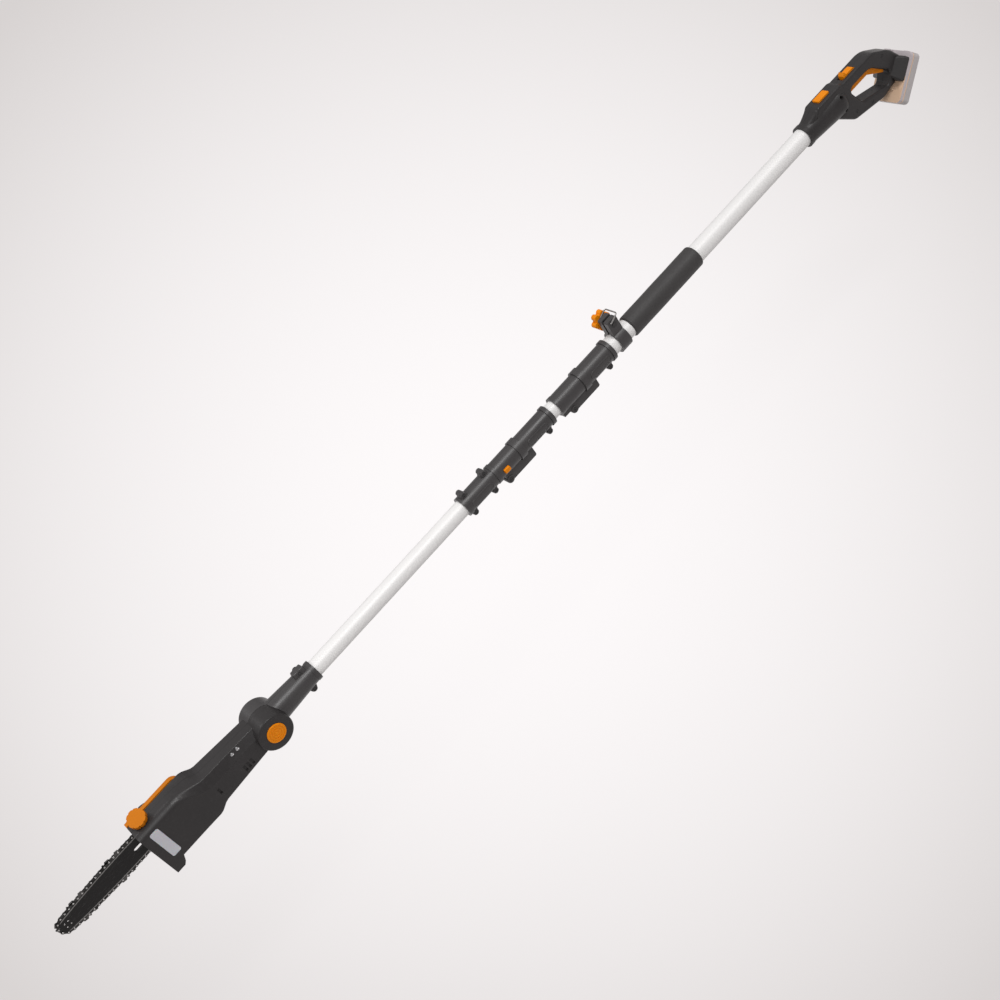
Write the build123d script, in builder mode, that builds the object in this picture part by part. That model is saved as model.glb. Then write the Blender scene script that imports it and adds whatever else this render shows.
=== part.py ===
from build123d import *
import math
import os

# Telescoping pole saw, in millimetres. The pole axis is X, from the saw (-X) to the operator (+X).
# +Z is up, and -Y is the operator's left. The origin is the middle of the foam hand grip.

# Poles
TUBE_D = 28.0
TUBE_WALL = 1.4
OUTER_TUBE_D = 33.0
OUTER_TUBE_WALL = 1.5
GRIP_D = 40.0
GRIP_LENGTH = 170.0
GRIP_EDGE = 3.0

# Lengths along the pole, from the grip forward and from the grip back
COLLAR_GAP = 14.0
COLLAR_WIDTH = 21.0
REAR_TUBE_SHOWN = 15.0
LOCK_SLEEVE = 70.0
LOCK_BODY = 63.0
MIDDLE_TUBE_SHOWN = 15.0
SOCKET_SLEEVE = 77.0
SOCKET_BODY = 59.0
PLUG_LENGTH = 69.0
FRONT_TUBE_SHOWN = 336.0
YOKE_LENGTH = 78.0
OUTER_TUBE_SHOWN = 291.0
TUBE_SEAT = 44.0
MIDDLE_TUBE_TAIL = 533.0

# Fits
SLIDE_FIT = 0.1
SEAT_FIT = 0.05
FOAM_FIT = 0.3
CLEAR = 0.4

# Screws, along Y, with their heads on the left
SCREW_D = 3.2
SCREW_HEAD_D = 6.0
SCREW_HEAD_H = 2.4
SCREW_SINK = 0.6
SCREW_FIT = 0.1
BOSS_D = 10.0

# Couplings
COUPLING_R = 16.8
COUPLING_RIM_R = 18.2
COUPLING_RIM = 7.0
COUPLING_RING_R = 18.8
COUPLING_RING = 13.0
COUPLING_SLEEVE_R = 16.4
LOCK_SLEEVE_R = 18.3
LOCK_RIM_R = 20.2
BOSS_Z = 20.5
BOSS_REACH = 7.5
BOSS_INSET = 11.0
KEY_DEPTH = 32.0
KEY_WIDTH = 15.0
KEY_LENGTH = 64.0
KEY_INSET = 15.0
KEY_EDGE = 3.0
RIB_LENGTH = 34.0
RIB_WIDTH = 1.6
RIB_HEIGHT = 0.9
RIB_Z = 6.0
PLUG_CORE_D = 22.0
PLUG_CORE_LENGTH = 84.0
CONTACT_LENGTH = 4.0
BUSH_WALL = 1.6
TAIL_BUSH_LENGTH = 16.0

# Coupling buttons
BUTTON_LENGTH = 12.0
BUTTON_WIDTH = 8.0
BUTTON_PROUD = 3.4
BUTTON_TRAVEL = 2.5
BUTTON_DEPTH = 2.6
BUTTON_INSET = 21.0
LOCK_BUTTON_LENGTH = 7.0
LOCK_BUTTON_INSET = 12.5
LOCK_BUTTON_DEPTH = 6.5
LOCK_PAD_DEPTH = 24.0

# Strap collar
COLLAR_R = 21.0
EAR_Y = 12.0
EAR_TOP = 46.0
CLAMP_GAP = 5.0
CLAMP_Z = 35.0
STUD_D = 6.0
NUT_ACROSS = 10.0
NUT_H = 4.0
KNOB_R = 17.0
KNOB_LOBES = 6
KNOB_LOBE_R = 5.0
KNOB_H = 10.0
KNOB_HUB_D = 13.0
KNOB_HUB_H = 4.0
RING_WIRE_D = 2.4
RING_SPAN = 29.0
RING_REACH = 20.0
RING_TILT = 22.0
RING_Z = 42.0
RING_INSET = 5.0
RING_BEND = 4.0
RING_PIN = 6.0

# Tilt joint and yoke
BARREL_R = 29.5
BARREL_LEFT = 36.0
BARREL_RIGHT = 29.0
BARREL_EDGE = 2.5
LAP_GAP = 0.3
YOKE_R = 21.0
YOKE_END_R = 16.9
YOKE_BOSS_INSET = 21.0
PIVOT_D = 10.0
DETENT_D = 34.0
DETENT_DEPTH = 3.0
TILT_BUTTON_D = 32.0
TILT_BUTTON_H = 8.0
TILT_BUTTON_PROUD = 1.8
TILT_TRAVEL = 4.0
TILT_BUTTON_EDGE = 1.2
TILT_RINGS = 3
TILT_RING_PITCH = 4.0
TILT_RING_WIDTH = 1.2
TILT_RING_DEPTH = 0.5

# Saw head, measured from the pivot forward
HEAD_REACH = 241.0
HEAD_BLOCK = 67.5
NECK_REACH = 115.5
HEAD_LEFT = 25.0
HEAD_RIGHT = 16.0
HEAD_TOP = 45.0
HEAD_BOTTOM = 38.0
HEAD_FACET_Z = 39.0
HEAD_CREASE_Y = 15.0
NECK_LEFT = 26.0
NECK_RIGHT = 20.5
NECK_TOP = 29.5
NECK_BOTTOM = 28.0
NECK_FACET_Z = 12.0
NECK_CREASE_Y = 19.6
ROOT_LEFT = 25.0
ROOT_RIGHT = 18.0
ROOT_TOP = 22.0
ROOT_BOTTOM = 21.0
ROOT_FACET_Z = 9.7
ROOT_CREASE_Y = 13.5
BLOCK_CUT = 3.0
SHOULDER_STEPS = 10
SHOULDER_LAG = 0.6
BLOCK_ROUND = 12.5
NECK_ROUND = 1.5
HOOK_DROP = 12.5
HOOK_WIDTH = 20.0
HOOK_SLOPE = 5.0
VENT_LENGTH = 12.0
VENT_WIDTH = 4.0
VENT_DEPTH = 3.0
VENT_PITCH = 7.0
NECK_VENT_REACH = 60.0
NECK_VENT_Z = -11.0
VENT_COUNT = 3
NECK_SCREW_REACH = 60.0
NECK_SCREW_PITCH = 11.0
NECK_SCREW_Z = 21.0
NECK_SCREW_SINK = 5.6

# Oil tank and cap
TANK_FRONT = 9.0
TANK_LENGTH = 40.0
TANK_INNER = 0.5
TANK_TOP = 37.0
TANK_BOTTOM = 27.0
TANK_SKIN = 3.0
WINDOW_LENGTH = 16.0
WINDOW_HEIGHT = 59.0
WINDOW_Z = 5.5
WINDOW_INSET = 14.0
CAP_D = 30.0
CAP_H = 7.0
CAP_LOBES = 10
CAP_LOBE_R = 1.8
CAP_GAP = 0.8
CAP_SETBACK = 20.5
CAP_Y = 0.3
CAP_LIFT = 6.0
CAP_TILT = 20.0
NECK_RING_D = 20.0
NECK_RING_H = 4.0
NECK_RING_ROOT = 10.5
FILLER_D = 14.0

# Guide bar and chain
BAR_Y = 22.0
BAR_PLY = 1.4
BAR_NOSE_R = 12.7
BAR_EDGE_R = 1460.0
BAR_TAIL = 33.0
GROOVE_DEPTH = 7.5
BAR_SLOT_WIDTH = 7.0
BAR_SLOT_LENGTH = 55.0
PAD_LENGTH = 34.0
BAR_OUT = 174.0
SPROCKET_BACK = 73.0
RIVET_LIFT = 2.6
SPROCKET_TEETH_R = 17.8
CHAIN_PITCH = 9.3
LINK_END = 2.9
LINK_HALF = 2.3
TANG_DEPTH = 8.1
TANG_HALF = 3.6
DRIVE_T = 1.2
STRAP_T = 1.1
LINK_FIT = 0.05
CUTTER_TOP = 4.7
CUTTER_PLATE_T = 0.9
GAUGE_HALF = 1.6
STRAP_WAIST = 1.6
STUD_SETBACK = 8.5
BAR_STUD_D = 6.4

# Chain cover and its knob
COVER_SKIN = 2.5
COVER_Y = 29.5
COVER_LENGTH = 100.5
COVER_TOP = 45.0
COVER_BOTTOM = 35.0
COVER_REAR_R = 14.0
COVER_EDGE = 8.0
COVER_MOUTH = 27.0
COVER_KNOB_R = 33.4
COVER_KNOB_H = 13.0
COVER_KNOB_LOBES = 12
COVER_KNOB_LOBE_R = 3.0
COVER_KNOB_SETBACK = 27.0

# Drive
MOTOR_D = 28.0
MOTOR_LENGTH = 62.0
MOTOR_BACK = 108.0
MOTOR_SHAFT_D = 5.0
MOTOR_SHAFT_OUT = 30.0
PINION_R = 6.0
PINION_LENGTH = 8.0
GEAR_R = 17.0
GEAR_H = 6.0
SHAFT_D = 8.0
BUSH_D = 14.0
HUB_R = 8.8
FLANGE_R = 12.5
FLANGE_H = 1.4

# Rear handle, measured from its front rim back
HANDLE_RIM_R = 20.8
HANDLE_RIM = 8.0
HANDLE_FRONT_R = 19.8
HANDLE_NECK_R = 27.0
HANDLE_NECK = 104.0
HANDLE_DOME = 16.0
HANDLE_HALF = 16.0
HANDLE_EDGE = 4.6
RIDGE_FOOT = 26.0
RIDGE_FOOT_Z = 18.0
RIDGE_FRONT = 40.0
RIDGE_REAR = 98.0
RIDGE_TOP = 30.0
RIDGE_R = 8.0
GRIP_FRONT = 106.0
GRIP_TOP = 27.0
GRIP_BEND = 186.0
GRIP_BEND_R = 50.0
GRIP_REAR = 226.0
GRIP_REAR_Z = 2.0
GRIP_REAR_R = 40.0
HEEL_FRONT = 105.0
HEEL_FRONT_Z = -49.0
HEEL_BACK = 180.0
HEEL_BACK_Z = -62.5
HEEL_R = 20.0
HAND_FRONT = 113.0
HAND_LENGTH = 98.0
HAND_TOP = 6.8
HAND_HEIGHT = 56.8
HAND_BEND = 59.0
HAND_BEND_R = 30.0
HAND_CORNER = 8.0
HAND_REAR_DROP = 36.8
HAND_REAR_LEAN = 14.0
HAND_FRONT_LEAN = 19.0
HAND_FRONT_HEIGHT = 38.8
HANDLE_SCREW_SPOTS = [(88.0, 13.5), (88.0, -13.5), (150.0, -47.5), (112.0, -36.0), (203.0, 7.0)]
DOCK_BACK = 230.5
DOCK_Z = -42.0
DOCK_ANGLE = 48.6
DOCK_LENGTH = 42.0
DOCK_WIDTH = 63.0
DOCK_CORNER = 10.0
DOCK_FLARE = 11.0
DOCK_PLATE = 8.0
DOCK_ROOT = 34.0
TOP_BUTTON_BACK = 66.0
TOP_BUTTON_LENGTH = 28.0
TOP_BUTTON_WIDTH = 15.0
TOP_BUTTON_PROUD = 3.0
TOP_BUTTON_TRAVEL = 3.0
TOP_BUTTON_DEPTH = 8.0
BUTTON_EDGE = 1.5
LOCK_OFF_BACK = 133.5
LOCK_OFF_LENGTH = 29.0
LOCK_OFF_WIDTH = 12.0
LOCK_OFF_Y = -2.0
LOCK_OFF_PROUD = 8.5
LOCK_OFF_PLATE = 3.0
LOCK_OFF_NUB = 4.0
LOCK_OFF_TRAVEL = 5.0
LOCK_OFF_DEPTH = 5.0
TRIGGER_HALF = 6.5
TRIGGER_DROP = 12.0
TRIGGER_REAR_DROP = 4.5
TRIGGER_INNER = 3.0
TRIGGER_INSET = 3.0
TRIGGER_TOE = 10.0
TRIGGER_HORN = 9.0
TRIGGER_STOP = 8.0
TRIGGER_ANGLE = 5.0
TRIGGER_PIN_D = 4.0
TRIGGER_PIN_BACK = 4.0
TRIGGER_PIN_UP = 5.5
TRIGGER_PIN_REACH = 10.0
SWITCH_LENGTH = 26.0
SWITCH_HEIGHT = 6.5
SWITCH_HALF = 6.0
SWITCH_ROOF = 1.2
PLUNGER_D = 4.0

# Battery pack, on the dock plane
PACK_LENGTH = 88.0
PACK_WIDTH = 64.0
PACK_DEPTH = 28.0
PACK_RISE = 9.5
PACK_FRONT = 8.0
PACK_BAND = 3.0
PACK_BAND_INSET = 0.6
PACK_CORNER = 8.0
PACK_EDGE = 5.0
RAIL_LENGTH = 36.0
RAIL_NECK = 30.0
RAIL_HEAD = 38.0
RAIL_NECK_H = 3.0
RAIL_HEAD_H = 3.5
TERMINAL_LENGTH = 20.0
TERMINAL_H = 5.0
TERMINAL_SLOTS = 3
TERMINAL_SLOT = 2.0
TERMINAL_PITCH = 6.0
LATCH_LENGTH = 14.0
LATCH_WIDTH = 26.0
LATCH_PROUD = 2.0
LATCH_DEPTH = 3.5
LATCH_TRAVEL = 2.0
LATCH_GAP = 3.0

os.makedirs("parts", exist_ok=True)

# Stations along the pole axis
COLLAR_X = -GRIP_LENGTH / 2 - COLLAR_GAP
LOCK_END_X = COLLAR_X - COLLAR_WIDTH - REAR_TUBE_SHOWN
LOCK_MID_X = LOCK_END_X - LOCK_SLEEVE
LOCK_FRONT_X = LOCK_MID_X - LOCK_BODY
SOCKET_END_X = LOCK_FRONT_X - MIDDLE_TUBE_SHOWN
SOCKET_MID_X = SOCKET_END_X - SOCKET_SLEEVE
SOCKET_FRONT_X = SOCKET_MID_X - SOCKET_BODY
PLUG_FRONT_X = SOCKET_FRONT_X - PLUG_LENGTH
YOKE_END_X = PLUG_FRONT_X - FRONT_TUBE_SHOWN
PIVOT_X = YOKE_END_X - YOKE_LENGTH - BARREL_R
HEAD_X = PIVOT_X - HEAD_REACH
HANDLE_X = GRIP_LENGTH / 2 + OUTER_TUBE_SHOWN

TUBE_R = TUBE_D / 2
OUTER_TUBE_R = OUTER_TUBE_D / 2
SCREW_R = SCREW_D / 2
HOLE_R = SCREW_R + SCREW_FIT


def half_section(steps):
    """Outline of a turned form: (x, radius) steps, closed along the pole axis."""
    return [(steps[0][0], 0), *steps, (steps[-1][0], 0)]


def rib_reach(radius):
    """How far from the parting plane a rib on a sleeve of this radius reaches."""
    return math.sqrt(radius**2 - RIB_Z**2) + RIB_HEIGHT


# Outer tube, from the lock coupling into the rear handle
with BuildPart() as outer_tube:
    with BuildSketch(Plane.YZ.offset(LOCK_MID_X)):
        Circle(OUTER_TUBE_R)
        Circle(OUTER_TUBE_R - OUTER_TUBE_WALL, mode=Mode.SUBTRACT)
    extrude(amount=HANDLE_X + TUBE_SEAT - LOCK_MID_X)
outer_tube.part.label = "outer_tube"
export_step(outer_tube.part, "parts/outer_tube.step")

# Middle tube, from the socket coupling back inside the outer tube
with BuildPart() as middle_tube:
    with BuildSketch(Plane.YZ.offset(SOCKET_MID_X)):
        Circle(TUBE_R)
        Circle(TUBE_R - TUBE_WALL, mode=Mode.SUBTRACT)
    extrude(amount=LOCK_MID_X + MIDDLE_TUBE_TAIL - SOCKET_MID_X)
middle_tube.part.label = "middle_tube"
export_step(middle_tube.part, "parts/middle_tube.step")

# Front tube, from the yoke into the plug sleeve
with BuildPart() as front_tube:
    with BuildSketch(Plane.YZ.offset(YOKE_END_X - TUBE_SEAT)):
        Circle(TUBE_R)
        Circle(TUBE_R - TUBE_WALL, mode=Mode.SUBTRACT)
    extrude(amount=PLUG_FRONT_X + TUBE_SEAT - YOKE_END_X + TUBE_SEAT)
front_tube.part.label = "front_tube"
export_step(front_tube.part, "parts/front_tube.step")

# Foam hand grip, a sleeve with rounded ends
with BuildPart() as foam_grip:
    with BuildSketch(Plane.YZ.offset(-GRIP_LENGTH / 2)):
        Circle(GRIP_D / 2)
        Circle(OUTER_TUBE_R + FOAM_FIT, mode=Mode.SUBTRACT)
    extrude(amount=GRIP_LENGTH)
    fillet(foam_grip.edges().filter_by(GeomType.CIRCLE).group_by(SortBy.RADIUS)[-1], GRIP_EDGE)
foam_grip.part.label = "foam_grip"
export_step(foam_grip.part, "parts/foam_grip.step")

# Tail bush: a cap on the middle tube's end that runs in the outer tube
TAIL_X = LOCK_MID_X + MIDDLE_TUBE_TAIL
with BuildPart() as tail_bush:
    with BuildSketch(Plane.YZ.offset(TAIL_X - TAIL_BUSH_LENGTH)):
        Circle(OUTER_TUBE_R - OUTER_TUBE_WALL - SLIDE_FIT)
        Circle(TUBE_R + SEAT_FIT, mode=Mode.SUBTRACT)
    extrude(amount=TAIL_BUSH_LENGTH)
    with BuildSketch(Plane.YZ.offset(TAIL_X)):
        Circle(OUTER_TUBE_R - OUTER_TUBE_WALL - SLIDE_FIT)
        Circle(TUBE_R - TUBE_WALL, mode=Mode.SUBTRACT)
    extrude(amount=BUSH_WALL)
tail_bush.part.label = "tail_bush"
export_step(tail_bush.part, "parts/tail_bush.step")

# Guide bush: the middle tube runs in it, inside the lock coupling
with BuildPart() as guide_bush:
    with BuildSketch(Plane.YZ.offset(LOCK_FRONT_X)):
        Circle(TUBE_R + SLIDE_FIT + BUSH_WALL)
        Circle(TUBE_R + SLIDE_FIT, mode=Mode.SUBTRACT)
    extrude(amount=LOCK_BODY)
    with BuildSketch(Plane.XY):
        with Locations((LOCK_FRONT_X + LOCK_BUTTON_INSET, 0)):
            Rectangle(LOCK_BUTTON_LENGTH + 2 * CLEAR, BUTTON_WIDTH + 2 * CLEAR)
    extrude(amount=-LOCK_PAD_DEPTH, mode=Mode.SUBTRACT)
guide_bush.part.label = "guide_bush"
export_step(guide_bush.part, "parts/guide_bush.step")

# Screw places of the couplings, as (x, z) on the parting plane
PLUG_SCREWS = [
    (x, side * BOSS_Z)
    for x in (PLUG_FRONT_X + BOSS_INSET, SOCKET_FRONT_X - BOSS_INSET)
    for side in (-1, 1)
]
SOCKET_KEY_X = SOCKET_FRONT_X + KEY_INSET
LOCK_KEY_X = LOCK_FRONT_X + KEY_INSET + BOSS_D / 2
SOCKET_SCREWS = [
    (SOCKET_KEY_X + BOSS_D / 2, -KEY_DEPTH + BOSS_D / 2),
    (SOCKET_END_X - BOSS_INSET - BOSS_D / 2, -BOSS_Z),
]
LOCK_SCREWS = [
    (LOCK_KEY_X + BOSS_D / 2, -KEY_DEPTH + BOSS_D / 2),
    (LOCK_END_X - BOSS_INSET - BOSS_D / 2, -BOSS_Z - LOCK_SLEEVE_R + COUPLING_SLEEVE_R),
]

# Plug sleeve: two half shells clamped on the front tube's end
PLUG_STEPS = [
    (PLUG_FRONT_X, COUPLING_RIM_R),
    (PLUG_FRONT_X + COUPLING_RIM, COUPLING_RIM_R),
    (PLUG_FRONT_X + COUPLING_RIM, COUPLING_R),
    (SOCKET_FRONT_X, COUPLING_R),
]
PLUG_RIB_X = (PLUG_FRONT_X + SOCKET_FRONT_X) / 2
with BuildPart() as plug_form:
    with BuildSketch(Plane.XZ):
        Polygon(*half_section(PLUG_STEPS))
    revolve(axis=Axis.X)
    with BuildSketch(Plane.XZ):
        with Locations(*PLUG_SCREWS):
            Circle(BOSS_D / 2)
    extrude(amount=BOSS_REACH, both=True)
    with BuildSketch(Plane.XZ):
        with Locations((PLUG_RIB_X, RIB_Z), (PLUG_RIB_X, -RIB_Z)):
            SlotOverall(RIB_LENGTH, RIB_WIDTH)
    extrude(amount=rib_reach(COUPLING_R), both=True)
    with BuildSketch(Plane.YZ.offset(PLUG_FRONT_X)):
        Circle(TUBE_R + SEAT_FIT)
    extrude(amount=TUBE_SEAT, mode=Mode.SUBTRACT)
    with BuildSketch(Plane.YZ.offset(PLUG_FRONT_X)):
        Circle(PLUG_CORE_D / 2 + SEAT_FIT)
    extrude(amount=PLUG_LENGTH, mode=Mode.SUBTRACT)
    with BuildSketch(Plane.XZ):
        with Locations(*PLUG_SCREWS):
            Circle(HOLE_R)
    extrude(amount=BOSS_REACH, both=True, mode=Mode.SUBTRACT)
    with BuildSketch(Plane.XZ.offset(BOSS_REACH)):
        with Locations(*PLUG_SCREWS):
            Circle(SCREW_HEAD_D / 2 + SCREW_FIT)
    extrude(amount=-SCREW_HEAD_H - SCREW_SINK, mode=Mode.SUBTRACT)
with BuildPart() as plug_shell_left:
    add(plug_form.part)
    split(bisect_by=Plane.XZ, keep=Keep.TOP)
plug_shell_left.part.label = "plug_shell_left"
export_step(plug_shell_left.part, "parts/plug_shell_left.step")
with BuildPart() as plug_shell_right:
    add(plug_form.part)
    split(bisect_by=Plane.XZ, keep=Keep.BOTTOM)
plug_shell_right.part.label = "plug_shell_right"
export_step(plug_shell_right.part, "parts/plug_shell_right.step")

# Plug core: carries the current into the socket, held by the sleeve behind the tube's end
with BuildPart() as plug_core:
    with BuildSketch(Plane.YZ.offset(PLUG_FRONT_X + TUBE_SEAT)):
        Circle(PLUG_CORE_D / 2)
    extrude(amount=PLUG_LENGTH - TUBE_SEAT + PLUG_CORE_LENGTH)
    with BuildSketch(Plane.YZ.offset(SOCKET_FRONT_X + PLUG_CORE_LENGTH)):
        with PolarLocations(PLUG_CORE_D / 4, 2):
            Circle(SCREW_R)
    extrude(amount=-BOSS_D, mode=Mode.SUBTRACT)
    chamfer(plug_core.faces().sort_by(Axis.X)[-1].outer_wire().edges(), GRIP_EDGE / 2)
plug_core.part.label = "plug_core"
export_step(plug_core.part, "parts/plug_core.step")

# Socket coupling: two half shells clamped on the middle tube, which take the plug core
SOCKET_STEPS = [
    (SOCKET_FRONT_X, COUPLING_RIM_R),
    (SOCKET_FRONT_X + COUPLING_RIM, COUPLING_RIM_R),
    (SOCKET_FRONT_X + COUPLING_RIM, COUPLING_R),
    (SOCKET_MID_X - COUPLING_RING / 2, COUPLING_R),
    (SOCKET_MID_X - COUPLING_RING / 2, COUPLING_RING_R),
    (SOCKET_MID_X + COUPLING_RING / 2, COUPLING_RING_R),
    (SOCKET_MID_X + COUPLING_RING / 2, COUPLING_SLEEVE_R),
    (SOCKET_END_X - COUPLING_RIM, COUPLING_SLEEVE_R),
    (SOCKET_END_X - COUPLING_RIM, COUPLING_RIM_R),
    (SOCKET_END_X, COUPLING_RIM_R),
]
SOCKET_RIB_X = (SOCKET_MID_X + COUPLING_RING / 2 + SOCKET_END_X - COUPLING_RIM) / 2
with BuildPart() as socket_form:
    with BuildSketch(Plane.XZ):
        Polygon(*half_section(SOCKET_STEPS))
    revolve(axis=Axis.X)
    with BuildSketch(Plane.XZ):
        with Locations((SOCKET_KEY_X, -KEY_DEPTH)):
            RectangleRounded(KEY_LENGTH, KEY_DEPTH, KEY_EDGE, align=(Align.MIN, Align.MIN))
    extrude(amount=KEY_WIDTH / 2, both=True)
    with BuildSketch(Plane.XZ):
        with Locations(SOCKET_SCREWS[1]):
            Circle(BOSS_D / 2)
    extrude(amount=BOSS_REACH, both=True)
    with BuildSketch(Plane.XZ):
        with Locations((SOCKET_RIB_X, RIB_Z), (SOCKET_RIB_X, -RIB_Z)):
            SlotOverall(RIB_LENGTH, RIB_WIDTH)
    extrude(amount=rib_reach(COUPLING_SLEEVE_R), both=True)
    with BuildSketch(Plane.YZ.offset(SOCKET_MID_X)):
        Circle(TUBE_R + SEAT_FIT)
    extrude(amount=SOCKET_SLEEVE, mode=Mode.SUBTRACT)
    with BuildSketch(Plane.YZ.offset(SOCKET_FRONT_X)):
        Circle(PLUG_CORE_D / 2 + SLIDE_FIT)
    extrude(amount=SOCKET_BODY, mode=Mode.SUBTRACT)
    with BuildSketch(Plane.XZ.offset(COUPLING_R + BUTTON_PROUD)):
        with Locations((SOCKET_FRONT_X + BUTTON_INSET, 0)):
            RectangleRounded(BUTTON_LENGTH + 2 * CLEAR, BUTTON_WIDTH + 2 * CLEAR, BUTTON_WIDTH / 4)
    extrude(amount=-BUTTON_PROUD - COUPLING_R + PLUG_CORE_D / 2, mode=Mode.SUBTRACT)
    with BuildSketch(Plane.XZ):
        with Locations(*SOCKET_SCREWS):
            Circle(HOLE_R)
    extrude(amount=BOSS_REACH, both=True, mode=Mode.SUBTRACT)
    with BuildSketch(Plane.XZ.offset(BOSS_REACH)):
        with Locations(*SOCKET_SCREWS):
            Circle(SCREW_HEAD_D / 2 + SCREW_FIT)
    extrude(amount=-SCREW_HEAD_H - SCREW_SINK, mode=Mode.SUBTRACT)
with BuildPart() as socket_shell_left:
    add(socket_form.part)
    split(bisect_by=Plane.XZ, keep=Keep.TOP)
socket_shell_left.part.label = "socket_shell_left"
export_step(socket_shell_left.part, "parts/socket_shell_left.step")
with BuildPart() as socket_shell_right:
    add(socket_form.part)
    split(bisect_by=Plane.XZ, keep=Keep.BOTTOM)
socket_shell_right.part.label = "socket_shell_right"
export_step(socket_shell_right.part, "parts/socket_shell_right.step")

# Release button of the socket coupling, pressed in from the left
with BuildPart() as socket_button:
    with BuildSketch(Plane.XZ.offset(COUPLING_R - BUTTON_DEPTH)):
        with Locations((SOCKET_FRONT_X + BUTTON_INSET, 0)):
            RectangleRounded(BUTTON_LENGTH, BUTTON_WIDTH, BUTTON_WIDTH / 4)
    extrude(amount=BUTTON_DEPTH + BUTTON_PROUD)
    fillet(socket_button.faces().sort_by(Axis.Y)[0].edges(), BUTTON_PROUD / 3)
socket_button.part.label = "socket_button"
export_step(socket_button.part, "parts/socket_button.step")

# Contact socket: seated in the middle tube, behind the plug core's end
with BuildPart() as contact_socket:
    with BuildSketch(Plane.YZ.offset(SOCKET_FRONT_X + PLUG_CORE_LENGTH + CLEAR)):
        Circle(TUBE_R - TUBE_WALL - SEAT_FIT)
    extrude(amount=PLUG_CORE_D)
    with BuildSketch(Plane.YZ.offset(SOCKET_FRONT_X + PLUG_CORE_LENGTH + CLEAR)):
        with PolarLocations(PLUG_CORE_D / 4, 2):
            Circle(SCREW_R)
    extrude(amount=CONTACT_LENGTH, mode=Mode.SUBTRACT)
contact_socket.part.label = "contact_socket"
export_step(contact_socket.part, "parts/contact_socket.step")

# Lock coupling: two half shells clamped on the outer tube, round the guide bush
LOCK_STEPS = [
    (LOCK_FRONT_X, COUPLING_RIM_R),
    (LOCK_FRONT_X + COUPLING_RIM, COUPLING_RIM_R),
    (LOCK_FRONT_X + COUPLING_RIM, COUPLING_R + BUSH_WALL / 2),
    (LOCK_MID_X - COUPLING_RING / 2, COUPLING_R + BUSH_WALL / 2),
    (LOCK_MID_X - COUPLING_RING / 2, LOCK_RIM_R),
    (LOCK_MID_X + COUPLING_RING / 2, LOCK_RIM_R),
    (LOCK_MID_X + COUPLING_RING / 2, LOCK_SLEEVE_R),
    (LOCK_END_X - COUPLING_RIM, LOCK_SLEEVE_R),
    (LOCK_END_X - COUPLING_RIM, LOCK_RIM_R),
    (LOCK_END_X, LOCK_RIM_R),
]
LOCK_RIB_X = (LOCK_MID_X + COUPLING_RING / 2 + LOCK_END_X - COUPLING_RIM) / 2
LOCK_BUTTON_X = LOCK_FRONT_X + LOCK_BUTTON_INSET
with BuildPart() as lock_form:
    with BuildSketch(Plane.XZ):
        Polygon(*half_section(LOCK_STEPS))
    revolve(axis=Axis.X)
    with BuildSketch(Plane.XZ):
        with Locations((LOCK_KEY_X, -KEY_DEPTH)):
            RectangleRounded(KEY_LENGTH, KEY_DEPTH, KEY_EDGE, align=(Align.MIN, Align.MIN))
        with Locations((LOCK_FRONT_X + COUPLING_RIM / 2, -LOCK_PAD_DEPTH)):
            Rectangle(LOCK_KEY_X + BOSS_D - LOCK_FRONT_X - COUPLING_RIM / 2, LOCK_PAD_DEPTH,
                      align=(Align.MIN, Align.MIN))
    extrude(amount=KEY_WIDTH / 2, both=True)
    with BuildSketch(Plane.XZ):
        with Locations(LOCK_SCREWS[1]):
            Circle(BOSS_D / 2)
    extrude(amount=BOSS_REACH, both=True)
    with BuildSketch(Plane.XZ):
        with Locations((LOCK_RIB_X, RIB_Z), (LOCK_RIB_X, -RIB_Z)):
            SlotOverall(RIB_LENGTH, RIB_WIDTH)
    extrude(amount=rib_reach(LOCK_SLEEVE_R), both=True)
    with BuildSketch(Plane.YZ.offset(LOCK_MID_X)):
        Circle(OUTER_TUBE_R + SEAT_FIT)
    extrude(amount=LOCK_SLEEVE, mode=Mode.SUBTRACT)
    with BuildSketch(Plane.YZ.offset(LOCK_FRONT_X)):
        Circle(TUBE_R + SLIDE_FIT + BUSH_WALL + SEAT_FIT)
    extrude(amount=LOCK_BODY, mode=Mode.SUBTRACT)
    with BuildSketch(Plane.XY):
        with Locations((LOCK_BUTTON_X, 0)):
            Rectangle(LOCK_BUTTON_LENGTH + 2 * CLEAR, BUTTON_WIDTH + 2 * CLEAR)
    extrude(amount=-KEY_DEPTH, mode=Mode.SUBTRACT)
    with BuildSketch(Plane.XZ):
        with Locations(*LOCK_SCREWS):
            Circle(HOLE_R)
    extrude(amount=BOSS_REACH, both=True, mode=Mode.SUBTRACT)
    with BuildSketch(Plane.XZ.offset(BOSS_REACH)):
        with Locations(*LOCK_SCREWS):
            Circle(SCREW_HEAD_D / 2 + SCREW_FIT)
    extrude(amount=-SCREW_HEAD_H - SCREW_SINK, mode=Mode.SUBTRACT)
with BuildPart() as lock_shell_left:
    add(lock_form.part)
    split(bisect_by=Plane.XZ, keep=Keep.TOP)
lock_shell_left.part.label = "lock_shell_left"
export_step(lock_shell_left.part, "parts/lock_shell_left.step")
with BuildPart() as lock_shell_right:
    add(lock_form.part)
    split(bisect_by=Plane.XZ, keep=Keep.BOTTOM)
lock_shell_right.part.label = "lock_shell_right"
export_step(lock_shell_right.part, "parts/lock_shell_right.step")

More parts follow.
